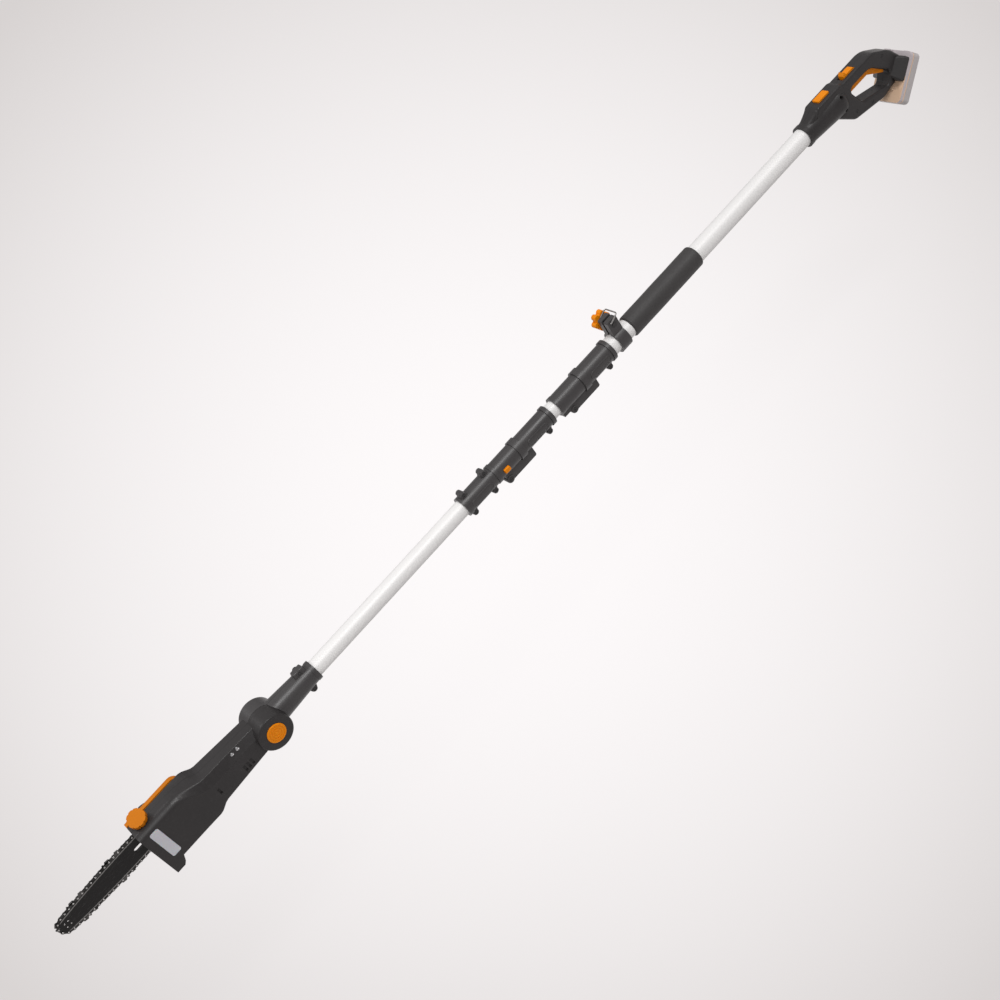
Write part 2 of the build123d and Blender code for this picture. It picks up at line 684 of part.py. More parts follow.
# Lock button: pressed up from below to free the middle tube
with BuildPart() as lock_button:
    with BuildSketch(Plane.XY.offset(-LOCK_PAD_DEPTH + LOCK_BUTTON_DEPTH)):
        with Locations((LOCK_BUTTON_X, 0)):
            Rectangle(LOCK_BUTTON_LENGTH, BUTTON_WIDTH)
    extrude(amount=-LOCK_BUTTON_DEPTH - BUTTON_PROUD)
    fillet(lock_button.faces().sort_by(Axis.Z)[0].edges(), BUTTON_PROUD / 3)
lock_button.part.label = "lock_button"
export_step(lock_button.part, "parts/lock_button.step")

# Coupling screws, one group for each pair of shells
with BuildPart() as plug_screws:
    with BuildSketch(Plane.XZ.offset(BOSS_REACH - SCREW_SINK - SCREW_HEAD_H)):
        with Locations(*PLUG_SCREWS):
            Circle(SCREW_HEAD_D / 2)
    extrude(amount=SCREW_HEAD_H)
    with BuildSketch(Plane.XZ.offset(BOSS_REACH - SCREW_SINK - SCREW_HEAD_H)):
        with Locations(*PLUG_SCREWS):
            Circle(SCREW_R)
    extrude(amount=-2 * BOSS_REACH + 2 * SCREW_HEAD_H)
plug_screws.part.label = "plug_screws"
export_step(plug_screws.part, "parts/plug_screws.step")
with BuildPart() as socket_screws:
    with BuildSketch(Plane.XZ.offset(BOSS_REACH - SCREW_SINK - SCREW_HEAD_H)):
        with Locations(*SOCKET_SCREWS):
            Circle(SCREW_HEAD_D / 2)
    extrude(amount=SCREW_HEAD_H)
    with BuildSketch(Plane.XZ.offset(BOSS_REACH - SCREW_SINK - SCREW_HEAD_H)):
        with Locations(*SOCKET_SCREWS):
            Circle(SCREW_R)
    extrude(amount=-2 * BOSS_REACH + 2 * SCREW_HEAD_H)
socket_screws.part.label = "socket_screws"
export_step(socket_screws.part, "parts/socket_screws.step")
with BuildPart() as lock_screws:
    with BuildSketch(Plane.XZ.offset(BOSS_REACH - SCREW_SINK - SCREW_HEAD_H)):
        with Locations(*LOCK_SCREWS):
            Circle(SCREW_HEAD_D / 2)
    extrude(amount=SCREW_HEAD_H)
    with BuildSketch(Plane.XZ.offset(BOSS_REACH - SCREW_SINK - SCREW_HEAD_H)):
        with Locations(*LOCK_SCREWS):
            Circle(SCREW_R)
    extrude(amount=-2 * BOSS_REACH + 2 * SCREW_HEAD_H)
lock_screws.part.label = "lock_screws"
export_step(lock_screws.part, "parts/lock_screws.step")

# Strap collar: a split ring with two clamp ears on top
COLLAR_FRONT_X = COLLAR_X - COLLAR_WIDTH
CLAMP_X = COLLAR_X - COLLAR_WIDTH / 2
RING_X = COLLAR_FRONT_X + RING_INSET
with BuildPart() as strap_collar:
    with BuildSketch(Plane.YZ.offset(COLLAR_FRONT_X)):
        Circle(COLLAR_R)
        with Locations((0, EAR_TOP / 2)):
            Rectangle(2 * EAR_Y, EAR_TOP)
        Circle(OUTER_TUBE_R + SEAT_FIT, mode=Mode.SUBTRACT)
        with Locations((0, (EAR_TOP + OUTER_TUBE_R) / 2)):
            Rectangle(CLAMP_GAP, EAR_TOP - OUTER_TUBE_R + CLAMP_GAP, mode=Mode.SUBTRACT)
    extrude(amount=COLLAR_WIDTH)
    fillet(strap_collar.edges().filter_by(Axis.Y).group_by(Axis.Z)[-1], KEY_EDGE)
    with BuildSketch(Plane.XZ):
        with Locations((CLAMP_X, CLAMP_Z)):
            Circle(STUD_D / 2 + SLIDE_FIT)
    extrude(amount=EAR_Y, both=True, mode=Mode.SUBTRACT)
    with BuildSketch(Plane.XZ.offset(EAR_Y)):
        with Locations((CLAMP_X, CLAMP_Z)):
            RegularPolygon(NUT_ACROSS / 2 + SCREW_FIT, 6, major_radius=False)
    extrude(amount=-NUT_H, mode=Mode.SUBTRACT)
    with BuildSketch(Plane.XZ):
        with Locations((RING_X, RING_Z)):
            Circle(RING_WIRE_D / 2 + SLIDE_FIT)
    extrude(amount=EAR_Y, both=True, mode=Mode.SUBTRACT)
strap_collar.part.label = "strap_collar"
export_step(strap_collar.part, "parts/strap_collar.step")

# Nut in the left ear
with BuildPart() as collar_nut:
    with BuildSketch(Plane.XZ.offset(EAR_Y - NUT_H)):
        with Locations((CLAMP_X, CLAMP_Z)):
            RegularPolygon(NUT_ACROSS / 2, 6, major_radius=False)
            Circle(STUD_D / 2 + SLIDE_FIT, mode=Mode.SUBTRACT)
    extrude(amount=NUT_H)
collar_nut.part.label = "collar_nut"
export_step(collar_nut.part, "parts/collar_nut.step")

# Star knob with its stud, on the right
with BuildPart() as collar_knob:
    with BuildSketch(Plane.XZ.offset(-EAR_Y - LAP_GAP - KNOB_HUB_H)):
        with Locations((CLAMP_X, CLAMP_Z)):
            Circle(KNOB_R - KNOB_LOBE_R)
            with PolarLocations(KNOB_R - KNOB_LOBE_R, KNOB_LOBES):
                Circle(KNOB_LOBE_R)
    extrude(amount=-KNOB_H)
    with BuildSketch(Plane.XZ.offset(-EAR_Y - LAP_GAP)):
        with Locations((CLAMP_X, CLAMP_Z)):
            Circle(KNOB_HUB_D / 2)
    extrude(amount=-KNOB_HUB_H)
    with BuildSketch(Plane.XZ.offset(EAR_Y + SCREW_SINK)):
        with Locations((CLAMP_X, CLAMP_Z)):
            Circle(STUD_D / 2)
    extrude(amount=-2 * EAR_Y - SCREW_SINK - LAP_GAP)
collar_knob.part.label = "collar_knob"
export_step(collar_knob.part, "parts/collar_knob.step")

# Wire strap ring: a bail whose ends sit in the ears
RING_PLANE = Plane(
    origin=(RING_X, 0, RING_Z),
    x_dir=(0, 1, 0),
    z_dir=(-math.sin(math.radians(RING_TILT)), 0, math.cos(math.radians(RING_TILT))),
)
RING_SIDE = RING_SPAN / 2
RING_END = EAR_Y - RING_PIN
with BuildPart() as strap_ring:
    with BuildLine(RING_PLANE) as ring_path:
        FilletPolyline(
            (-RING_END, 0), (-RING_SIDE, 0), (-RING_SIDE, -RING_REACH),
            (RING_SIDE, -RING_REACH), (RING_SIDE, 0), (RING_END, 0),
            radius=[RING_WIRE_D, RING_BEND, RING_BEND, RING_WIRE_D],
        )
    with BuildSketch(Plane(origin=ring_path.line @ 0, z_dir=ring_path.line % 0)):
        Circle(RING_WIRE_D / 2)
    sweep()
strap_ring.part.label = "strap_ring"
export_step(strap_ring.part, "parts/strap_ring.step")

# Yoke: two half shells clamped on the front tube; the right one carries a barrel of the tilt joint
YOKE_SCREWS = [(YOKE_END_X - YOKE_BOSS_INSET, side * BOSS_Z) for side in (-1, 1)]
YOKE_STEPS = [
    (PIVOT_X, YOKE_R),
    (PIVOT_X + BARREL_R, YOKE_R),
    (YOKE_END_X - COUPLING_RIM, YOKE_END_R),
    (YOKE_END_X - COUPLING_RIM, YOKE_END_R + RIB_HEIGHT),
    (YOKE_END_X, YOKE_END_R + RIB_HEIGHT),
]
with BuildPart() as yoke_form:
    with BuildSketch(Plane.XZ):
        Polygon(*half_section(YOKE_STEPS))
    revolve(axis=Axis.X)
    with BuildSketch(Plane.XZ):
        with Locations(*YOKE_SCREWS):
            Circle(BOSS_D / 2)
    extrude(amount=BOSS_REACH, both=True)
    with BuildSketch(Plane.XZ.offset(BARREL_LEFT)):
        with Locations((PIVOT_X, 0)):
            Circle(BARREL_R + CLEAR)
    extrude(amount=-BARREL_LEFT - LAP_GAP / 2, mode=Mode.SUBTRACT)
    with BuildSketch(Plane.XZ.offset(-LAP_GAP / 2)):
        with Locations((PIVOT_X, 0)):
            Circle(BARREL_R)
    extrude(amount=-BARREL_RIGHT)
    fillet(yoke_form.faces().sort_by(Axis.Y)[-1].edges(), BARREL_EDGE)
    with BuildSketch(Plane.YZ.offset(YOKE_END_X)):
        Circle(TUBE_R + SEAT_FIT)
    extrude(amount=-TUBE_SEAT, mode=Mode.SUBTRACT)
    with BuildSketch(Plane.XZ.offset(-LAP_GAP / 2)):
        with Locations((PIVOT_X, 0)):
            Circle(PIVOT_D / 2 + SEAT_FIT)
    extrude(amount=-BARREL_RIGHT / 2, mode=Mode.SUBTRACT)
    with BuildSketch(Plane.XZ):
        with Locations(*YOKE_SCREWS):
            Circle(HOLE_R)
    extrude(amount=BOSS_REACH, both=True, mode=Mode.SUBTRACT)
    with BuildSketch(Plane.XZ.offset(BOSS_REACH)):
        with Locations(*YOKE_SCREWS):
            Circle(SCREW_HEAD_D / 2 + SCREW_FIT)
    extrude(amount=-SCREW_HEAD_H - SCREW_SINK, mode=Mode.SUBTRACT)
with BuildPart() as yoke_left:
    add(yoke_form.part)
    split(bisect_by=Plane.XZ, keep=Keep.TOP)
yoke_left.part.label = "yoke_left"
export_step(yoke_left.part, "parts/yoke_left.step")
with BuildPart() as yoke_right:
    add(yoke_form.part)
    split(bisect_by=Plane.XZ, keep=Keep.BOTTOM)
yoke_right.part.label = "yoke_right"
export_step(yoke_right.part, "parts/yoke_right.step")
with BuildPart() as yoke_screws:
    with BuildSketch(Plane.XZ.offset(BOSS_REACH - SCREW_SINK - SCREW_HEAD_H)):
        with Locations(*YOKE_SCREWS):
            Circle(SCREW_HEAD_D / 2)
    extrude(amount=SCREW_HEAD_H)
    with BuildSketch(Plane.XZ.offset(BOSS_REACH - SCREW_SINK - SCREW_HEAD_H)):
        with Locations(*YOKE_SCREWS):
            Circle(SCREW_R)
    extrude(amount=-2 * BOSS_REACH + 2 * SCREW_HEAD_H)
yoke_screws.part.label = "yoke_screws"
export_step(yoke_screws.part, "parts/yoke_screws.step")

# Pivot bolt with its detent disc, fixed in the yoke and running in the head's barrel
BUTTON_FLOOR = BARREL_LEFT - TILT_BUTTON_H + TILT_BUTTON_PROUD - TILT_TRAVEL
with BuildPart() as pivot_bolt:
    with BuildSketch(Plane.XZ.offset(-BARREL_RIGHT / 2 - LAP_GAP / 2)):
        with Locations((PIVOT_X, 0)):
            Circle(PIVOT_D / 2)
    extrude(amount=BARREL_RIGHT / 2 + LAP_GAP / 2 + BUTTON_FLOOR - CLEAR)
    with BuildSketch(Plane.XZ.offset(-LAP_GAP / 2)):
        with Locations((PIVOT_X, 0)):
            RegularPolygon(DETENT_D / 2, 12)
    extrude(amount=DETENT_DEPTH)
pivot_bolt.part.label = "pivot_bolt"
export_step(pivot_bolt.part, "parts/pivot_bolt.step")


def head_section(front, rear, early, late):
    """Outline (y, z) between two sections of the head: the near side changes early, the far side late."""
    left, facet, crease, ridge = [a + (b - a) * early for a, b in zip(front[:4], rear[:4])]
    right, top, bottom = [a + (b - a) * late for a, b in zip(front[4:], rear[4:])]
    return [
        (-left, BLOCK_CUT - bottom), (-left, facet), (-crease, ridge), (right - BLOCK_CUT, top),
        (right, top - BLOCK_CUT), (right, BLOCK_CUT - bottom), (right - BLOCK_CUT, -bottom),
        (BLOCK_CUT - left, -bottom),
    ]


def head_rounds(soft):
    """Corner radii of a head section, in the order of its points: only the near top edge is soft."""
    return [0, soft, soft, 0, 0, 0, 0, 0]


def ease(share):
    """Smooth step from 0 to 1."""
    return share * share * (3 - 2 * share)


# Head: a front block whose shoulder runs down into the neck, with the left barrel of the tilt joint
BLOCK_X = HEAD_X + HEAD_BLOCK
NECK_X = PIVOT_X - NECK_REACH
TANK_X = HEAD_X + TANK_FRONT
SPROCKET_X = HEAD_X + SPROCKET_BACK
MOTOR_X = HEAD_X + MOTOR_BACK
STUD_X = HEAD_X + COVER_KNOB_SETBACK
GEAR_END = PINION_R + CLEAR + GEAR_H
SCREW_SEAT_Y = NECK_LEFT - NECK_SCREW_SINK - SCREW_HEAD_H
HEAD_SCREWS = [
    (PIVOT_X - NECK_SCREW_REACH - NECK_SCREW_PITCH / 2, NECK_SCREW_Z),
    (PIVOT_X - NECK_SCREW_REACH + NECK_SCREW_PITCH / 2, NECK_SCREW_Z),
]
CAP_PLANE = Plane((HEAD_X + CAP_SETBACK, CAP_Y, HEAD_TOP + CAP_LIFT)).rotated((CAP_TILT, 0, 0))
BLOCK_SECTION = [HEAD_LEFT, HEAD_FACET_Z, HEAD_CREASE_Y, HEAD_TOP, HEAD_RIGHT, HEAD_TOP, HEAD_BOTTOM]
NECK_SECTION = [NECK_LEFT, NECK_FACET_Z, NECK_CREASE_Y, NECK_TOP, NECK_RIGHT, NECK_TOP, NECK_BOTTOM]
ROOT_SECTION = [ROOT_LEFT, ROOT_FACET_Z, ROOT_CREASE_Y, ROOT_TOP, ROOT_RIGHT, ROOT_TOP, ROOT_BOTTOM]
with BuildPart() as head_form:
    with BuildSketch(Plane.YZ.offset(HEAD_X)):
        with BuildLine():
            FilletPolyline(
                *head_section(BLOCK_SECTION, NECK_SECTION, 0, 0),
                radius=head_rounds(BLOCK_ROUND), close=True,
            )
        make_face()
    extrude(amount=HEAD_BLOCK)
    for step in range(SHOULDER_STEPS + 1):
        share = step / SHOULDER_STEPS
        late = max(0, share - SHOULDER_LAG) / (1 - SHOULDER_LAG)
        with BuildSketch(Plane.YZ.offset(BLOCK_X + (NECK_X - BLOCK_X) * share)):
            with BuildLine():
                FilletPolyline(
                    *head_section(BLOCK_SECTION, NECK_SECTION, ease(share), ease(late)),
                    radius=head_rounds(BLOCK_ROUND + (NECK_ROUND - BLOCK_ROUND) * ease(share)), close=True,
                )
            make_face()
    loft(ruled=True)
    with BuildSketch(Plane.YZ.offset(NECK_X)):
        with BuildLine():
            FilletPolyline(
                *head_section(NECK_SECTION, ROOT_SECTION, 0, 0),
                radius=head_rounds(NECK_ROUND), close=True,
            )
        make_face()
    with BuildSketch(Plane.YZ.offset(PIVOT_X)):
        with BuildLine():
            FilletPolyline(
                *head_section(NECK_SECTION, ROOT_SECTION, 1, 1),
                radius=head_rounds(NECK_ROUND), close=True,
            )
        make_face()
    loft(ruled=True)
    with BuildSketch(Plane.XZ.offset(HEAD_LEFT)):
        Polygon(
            (HEAD_X, BLOCK_CUT - HEAD_BOTTOM), (HEAD_X, -HEAD_BOTTOM - HOOK_DROP),
            (HEAD_X + HOOK_WIDTH - HOOK_SLOPE, -HEAD_BOTTOM - HOOK_DROP),
            (HEAD_X + HOOK_WIDTH, -HEAD_BOTTOM - HOOK_DROP + HOOK_SLOPE),
            (HEAD_X + HOOK_WIDTH + HOOK_SLOPE, BLOCK_CUT - HEAD_BOTTOM),
        )
    extrude(amount=-HEAD_LEFT - HEAD_RIGHT)
    with BuildSketch(Plane.XZ.offset(LAP_GAP / 2)):
        with Locations((PIVOT_X, 0)):
            Circle(BARREL_R + CLEAR)
    extrude(amount=-BARREL_RIGHT - LAP_GAP, mode=Mode.SUBTRACT)
    with BuildSketch(Plane.YZ.offset(PIVOT_X)):
        Rectangle(2 * BARREL_LEFT, 2 * BARREL_R)
    extrude(amount=BARREL_R, mode=Mode.SUBTRACT)
    with BuildSketch(Plane.XZ.offset(LAP_GAP / 2)):
        with Locations((PIVOT_X, 0)):
            Circle(BARREL_R)
    extrude(amount=BARREL_LEFT)
    fillet(head_form.faces().sort_by(Axis.Y)[0].edges(), BARREL_EDGE)
    with BuildSketch(Plane.XZ.offset(BARREL_LEFT + LAP_GAP / 2)):
        with Locations((PIVOT_X, 0)):
            Circle(TILT_BUTTON_D / 2 + CLEAR)
    extrude(amount=-BARREL_LEFT + BUTTON_FLOOR - LAP_GAP / 2, mode=Mode.SUBTRACT)
    with BuildSketch(Plane.XZ.offset(BUTTON_FLOOR)):
        with Locations((PIVOT_X, 0)):
            Circle(PIVOT_D / 2 + SLIDE_FIT)
    extrude(amount=-BUTTON_FLOOR, mode=Mode.SUBTRACT)
    with BuildSketch(Plane.XZ):
        with Locations((PIVOT_X, 0)):
            Circle(DETENT_D / 2 + CLEAR)
    extrude(amount=DETENT_DEPTH + CLEAR, mode=Mode.SUBTRACT)
    with BuildSketch(Plane.YZ.offset(MOTOR_X)):
        Circle(MOTOR_D / 2 + SEAT_FIT)
    extrude(amount=MOTOR_LENGTH, mode=Mode.SUBTRACT)
    with BuildSketch(Plane.XZ.offset(PINION_R + CLEAR)):
        with Locations((SPROCKET_X, 0)):
            Circle(GEAR_R + CLEAR)
        with Locations(((SPROCKET_X + MOTOR_X) / 2, 0)):
            Rectangle(MOTOR_X - SPROCKET_X, 2 * PINION_R + 4 * CLEAR)
    extrude(amount=-PINION_R - GEAR_END - 2 * CLEAR, mode=Mode.SUBTRACT)
    with BuildSketch(Plane.XZ):
        with Locations((SPROCKET_X, 0)):
            Circle(BUSH_D / 2 + SEAT_FIT)
    extrude(amount=-HEAD_RIGHT, mode=Mode.SUBTRACT)
    with BuildSketch(CAP_PLANE.offset(CAP_GAP + NECK_RING_H)):
        Circle(NECK_RING_D / 2)
    extrude(amount=-CAP_GAP - NECK_RING_H - NECK_RING_ROOT)
    with BuildSketch(Plane.XZ.offset(HEAD_LEFT - TANK_SKIN)):
        with Locations((TANK_X, -TANK_BOTTOM)):
            Rectangle(TANK_LENGTH, TANK_BOTTOM + TANK_TOP, align=(Align.MIN, Align.MIN))
    extrude(amount=-HEAD_LEFT + TANK_SKIN, mode=Mode.SUBTRACT)
    with BuildSketch(Plane.XZ.offset(HEAD_LEFT)):
        with Locations((HEAD_X + WINDOW_INSET + WINDOW_LENGTH / 2, WINDOW_Z)):
            RectangleRounded(WINDOW_LENGTH, WINDOW_HEIGHT, BLOCK_CUT)
    extrude(amount=-TANK_SKIN, mode=Mode.SUBTRACT)
    with BuildSketch(CAP_PLANE.offset(CAP_GAP + NECK_RING_H)):
        Circle(FILLER_D / 2)
    extrude(amount=-CAP_GAP - NECK_RING_H - CAP_LIFT - HEAD_TOP + TANK_TOP, mode=Mode.SUBTRACT)
    with BuildSketch(Plane.XZ.offset(-HEAD_RIGHT)):
        with Locations((STUD_X, 0)):
            SlotOverall(PAD_LENGTH, 2 * BAR_NOSE_R)
    extrude(amount=HEAD_RIGHT - BAR_Y + 1.5 * BAR_PLY)
    with BuildSketch(Plane.XZ.offset(-BAR_Y)):
        with Locations((STUD_X, 0)):
            Circle(BAR_STUD_D / 2 + SEAT_FIT)
    extrude(amount=BAR_Y - TANK_INNER, mode=Mode.SUBTRACT)
    with BuildSketch(Plane.XZ.offset(NECK_LEFT)):
        with Locations((PIVOT_X - NECK_VENT_REACH, NECK_VENT_Z)):
            with GridLocations(VENT_PITCH, 0, VENT_COUNT, 1):
                Rectangle(VENT_WIDTH, VENT_LENGTH)
        with Locations((NECK_X, -VENT_WIDTH)):
            Rectangle(VENT_WIDTH, VENT_LENGTH)
    extrude(amount=VENT_DEPTH, both=True, mode=Mode.SUBTRACT)
    with BuildSketch(Plane.XZ.offset(SCREW_SEAT_Y)):
        with Locations(*HEAD_SCREWS):
            Circle(SCREW_HEAD_D / 2 + SCREW_FIT)
    extrude(amount=NECK_LEFT, mode=Mode.SUBTRACT)
    with BuildSketch(Plane.XZ.offset(SCREW_SEAT_Y)):
        with Locations(*HEAD_SCREWS):
            Circle(HOLE_R)
    extrude(amount=-SCREW_SEAT_Y - HEAD_RIGHT / 2, mode=Mode.SUBTRACT)
with BuildPart() as head_left:
    add(head_form.part)
    split(bisect_by=Plane.XZ, keep=Keep.TOP)
head_left.part.label = "head_left"
export_step(head_left.part, "parts/head_left.step")
with BuildPart() as head_right:
    add(head_form.part)
    split(bisect_by=Plane.XZ, keep=Keep.BOTTOM)
head_right.part.label = "head_right"
export_step(head_right.part, "parts/head_right.step")
with BuildPart() as head_screws:
    with BuildSketch(Plane.XZ.offset(SCREW_SEAT_Y)):
        with Locations(*HEAD_SCREWS):
            Circle(SCREW_HEAD_D / 2)
    extrude(amount=SCREW_HEAD_H)
    with BuildSketch(Plane.XZ.offset(SCREW_SEAT_Y)):
        with Locations(*HEAD_SCREWS):
            Circle(SCREW_R)
    extrude(amount=-SCREW_SEAT_Y - HEAD_RIGHT / 4)
head_screws.part.label = "head_screws"
export_step(head_screws.part, "parts/head_screws.step")

# Tilt button in the left barrel
with BuildPart() as tilt_button:
    with BuildSketch(Plane.XZ.offset(BARREL_LEFT + LAP_GAP / 2 + TILT_BUTTON_PROUD)):
        with Locations((PIVOT_X, 0)):
            Circle(TILT_BUTTON_D / 2)
    extrude(amount=-TILT_BUTTON_H)
    fillet(tilt_button.faces().sort_by(Axis.Y)[0].edges(), TILT_BUTTON_EDGE)
    with BuildSketch(Plane.XZ.offset(BARREL_LEFT + LAP_GAP / 2 + TILT_BUTTON_PROUD)):
        with Locations((PIVOT_X, 0)):
            for ring in range(TILT_RINGS, 0, -1):
                Circle(ring * TILT_RING_PITCH + TILT_RING_WIDTH / 2)
                Circle(ring * TILT_RING_PITCH - TILT_RING_WIDTH / 2, mode=Mode.SUBTRACT)
    extrude(amount=-TILT_RING_DEPTH, mode=Mode.SUBTRACT)
tilt_button.part.label = "tilt_button"
export_step(tilt_button.part, "parts/tilt_button.step")

# Oil tank: a box in the left half, whose pad shows through the window
with BuildPart() as oil_tank:
    with BuildSketch(Plane.XZ.offset(HEAD_LEFT - TANK_SKIN - SEAT_FIT)):
        with Locations((TANK_X + TANK_LENGTH / 2, (TANK_TOP - TANK_BOTTOM) / 2)):
            Rectangle(TANK_LENGTH - 2 * SEAT_FIT, TANK_TOP + TANK_BOTTOM - 2 * SEAT_FIT)
    extrude(amount=-HEAD_LEFT + TANK_SKIN + TANK_INNER)
    with BuildSketch(Plane.XZ.offset(HEAD_LEFT)):
        with Locations((HEAD_X + WINDOW_INSET + WINDOW_LENGTH / 2, WINDOW_Z)):
            RectangleRounded(WINDOW_LENGTH - 2 * SEAT_FIT, WINDOW_HEIGHT - 2 * SEAT_FIT, BLOCK_CUT)
    extrude(amount=-TANK_SKIN - SEAT_FIT)
oil_tank.part.label = "oil_tank"
export_step(oil_tank.part, "parts/oil_tank.step")

# Oil cap: a scalloped screw cap over the filler neck
with BuildPart() as oil_cap:
    with BuildSketch(CAP_PLANE.offset(CAP_GAP)):
        Circle(CAP_D / 2)
        with PolarLocations(CAP_D / 2 + CAP_LOBE_R / 2, CAP_LOBES):
            Circle(CAP_LOBE_R, mode=Mode.SUBTRACT)
    extrude(amount=CAP_H)
    with BuildSketch(CAP_PLANE.offset(CAP_GAP)):
        Circle(NECK_RING_D / 2 + SLIDE_FIT)
    extrude(amount=NECK_RING_H + LAP_GAP, mode=Mode.SUBTRACT)
oil_cap.part.label = "oil_cap"
export_step(oil_cap.part, "parts/oil_cap.step")

# Rivet line of the chain: a nose arc, a sprocket arc and two long arcs tangent to both
NOSE_X = HEAD_X - BAR_OUT + BAR_NOSE_R + RIVET_LIFT + CUTTER_TOP
NOSE_LINE_R = BAR_NOSE_R + RIVET_LIFT
EDGE_X = (NOSE_X + SPROCKET_X) / 2 + (
    (BAR_EDGE_R - NOSE_LINE_R) ** 2 - (BAR_EDGE_R - SPROCKET_TEETH_R) ** 2
) / (2 * (SPROCKET_X - NOSE_X))
EDGE_Z = -math.sqrt((BAR_EDGE_R - NOSE_LINE_R) ** 2 - (EDGE_X - NOSE_X) ** 2)
NOSE_TURN = math.atan2(-EDGE_Z, NOSE_X - EDGE_X)
SPROCKET_TURN = math.atan2(-EDGE_Z, SPROCKET_X - EDGE_X)
LOOP_ARCS = [
    (NOSE_X, 0, NOSE_LINE_R, NOSE_TURN, 2 * math.pi - 2 * NOSE_TURN),
    (EDGE_X, -EDGE_Z, BAR_EDGE_R, -NOSE_TURN, NOSE_TURN - SPROCKET_TURN),
    (SPROCKET_X, 0, SPROCKET_TEETH_R, -SPROCKET_TURN, 2 * SPROCKET_TURN),
    (EDGE_X, EDGE_Z, BAR_EDGE_R, SPROCKET_TURN, NOSE_TURN - SPROCKET_TURN),
]
LOOP_LENGTH = sum(radius * sweep_angle for _, _, radius, _, sweep_angle in LOOP_ARCS)
LINK_PAIRS = round(LOOP_LENGTH / (2 * CHAIN_PITCH))
RIVET_PITCH = LOOP_LENGTH / (2 * LINK_PAIRS)


def arc_point(x, z, radius, angle):
    """Point (x, z) of an arc at an angle in radians."""
    return (x + radius * math.cos(angle), z + radius * math.sin(angle))


def rivet(index):
    """Centre (x, z) of a rivet, counted round the loop."""
    along = (index * RIVET_PITCH) % LOOP_LENGTH
    for x, z, radius, start, sweep_angle in LOOP_ARCS:
        if along <= radius * sweep_angle:
            return arc_point(x, z, radius, start + along / radius)
        along -= radius * sweep_angle
    return arc_point(*LOOP_ARCS[0][:4])


def link_plane(index, y):
    """Plane of the link from one rivet to the next: x along the chain, y into the bar."""
    x0, z0 = rivet(index)
    x1, z1 = rivet(index + 1)
    return Plane(
        origin=((x0 + x1) / 2, y, (z0 + z1) / 2),
        x_dir=(x1 - x0, 0, z1 - z0),
        z_dir=(0, -1, 0),
    )


# Link outlines, from one rivet to the next, with the bar on the +y side
HALF_PITCH = RIVET_PITCH / 2
LINK_TIP = HALF_PITCH + LINK_END
WAIST = HALF_PITCH / 2
DRIVE_LINK = [
    (-LINK_TIP, -LINK_HALF / 2), (-HALF_PITCH, -LINK_HALF), (HALF_PITCH, -LINK_HALF),
    (LINK_TIP, -LINK_HALF / 2), (LINK_TIP, LINK_HALF / 2), (HALF_PITCH, LINK_HALF),
    (TANG_HALF, RIVET_LIFT), (TANG_HALF / 2, TANG_DEPTH), (-TANG_HALF / 2, TANG_DEPTH),
    (-TANG_HALF, RIVET_LIFT), (-HALF_PITCH, LINK_HALF), (-LINK_TIP, LINK_HALF / 2),
]
STRAP_FOOT = [
    (LINK_TIP, LINK_HALF / 2), (HALF_PITCH, LINK_HALF), (WAIST, STRAP_WAIST),
    (-WAIST, STRAP_WAIST), (-HALF_PITCH, LINK_HALF), (-LINK_TIP, LINK_HALF / 2),
]
STRAP = [
    *STRAP_FOOT,
    (-LINK_TIP, -LINK_HALF / 2), (-HALF_PITCH, -LINK_HALF), (-WAIST, -STRAP_WAIST),
    (WAIST, -STRAP_WAIST), (HALF_PITCH, -LINK_HALF), (LINK_TIP, -LINK_HALF / 2),
]
CUTTER = [
    *STRAP_FOOT,
    (-LINK_TIP, -LINK_HALF), (-HALF_PITCH - GAUGE_HALF, CUTTER_PLATE_T - CUTTER_TOP),
    (0, -CUTTER_TOP), (GAUGE_HALF, -LINK_HALF), (HALF_PITCH - GAUGE_HALF, -STRAP_WAIST),
    (HALF_PITCH, CUTTER_PLATE_T - CUTTER_TOP), (HALF_PITCH + GAUGE_HALF, CUTTER_PLATE_T - CUTTER_TOP),
    (LINK_TIP, -LINK_HALF / 2),
]
TOP_PLATE = [
    (-HALF_PITCH - GAUGE_HALF, CUTTER_PLATE_T - CUTTER_TOP), (0, -CUTTER_TOP),
    (0, CUTTER_PLATE_T - CUTTER_TOP), (-HALF_PITCH - GAUGE_HALF, 2 * CUTTER_PLATE_T - CUTTER_TOP),
]
SIDE_Y = DRIVE_T / 2 + LINK_FIT + STRAP_T / 2
with BuildPart() as chain_drive_links:
    for index in range(0, 2 * LINK_PAIRS, 2):
        with BuildSketch(link_plane(index, BAR_Y)):
            Polygon(*DRIVE_LINK)
    extrude(amount=DRIVE_T / 2, both=True)
chain_drive_links.part.label = "chain_drive_links"
export_step(chain_drive_links.part, "parts/chain_drive_links.step")
with BuildPart() as chain_straps:
    for index in range(1, 2 * LINK_PAIRS, 2):
        for side in (-1, 1):
            if index % 8 != 4 - 3 * side:
                with BuildSketch(link_plane(index, BAR_Y + side * SIDE_Y)):
                    Polygon(*STRAP)
    extrude(amount=STRAP_T / 2, both=True)
chain_straps.part.label = "chain_straps"
export_step(chain_straps.part, "parts/chain_straps.step")
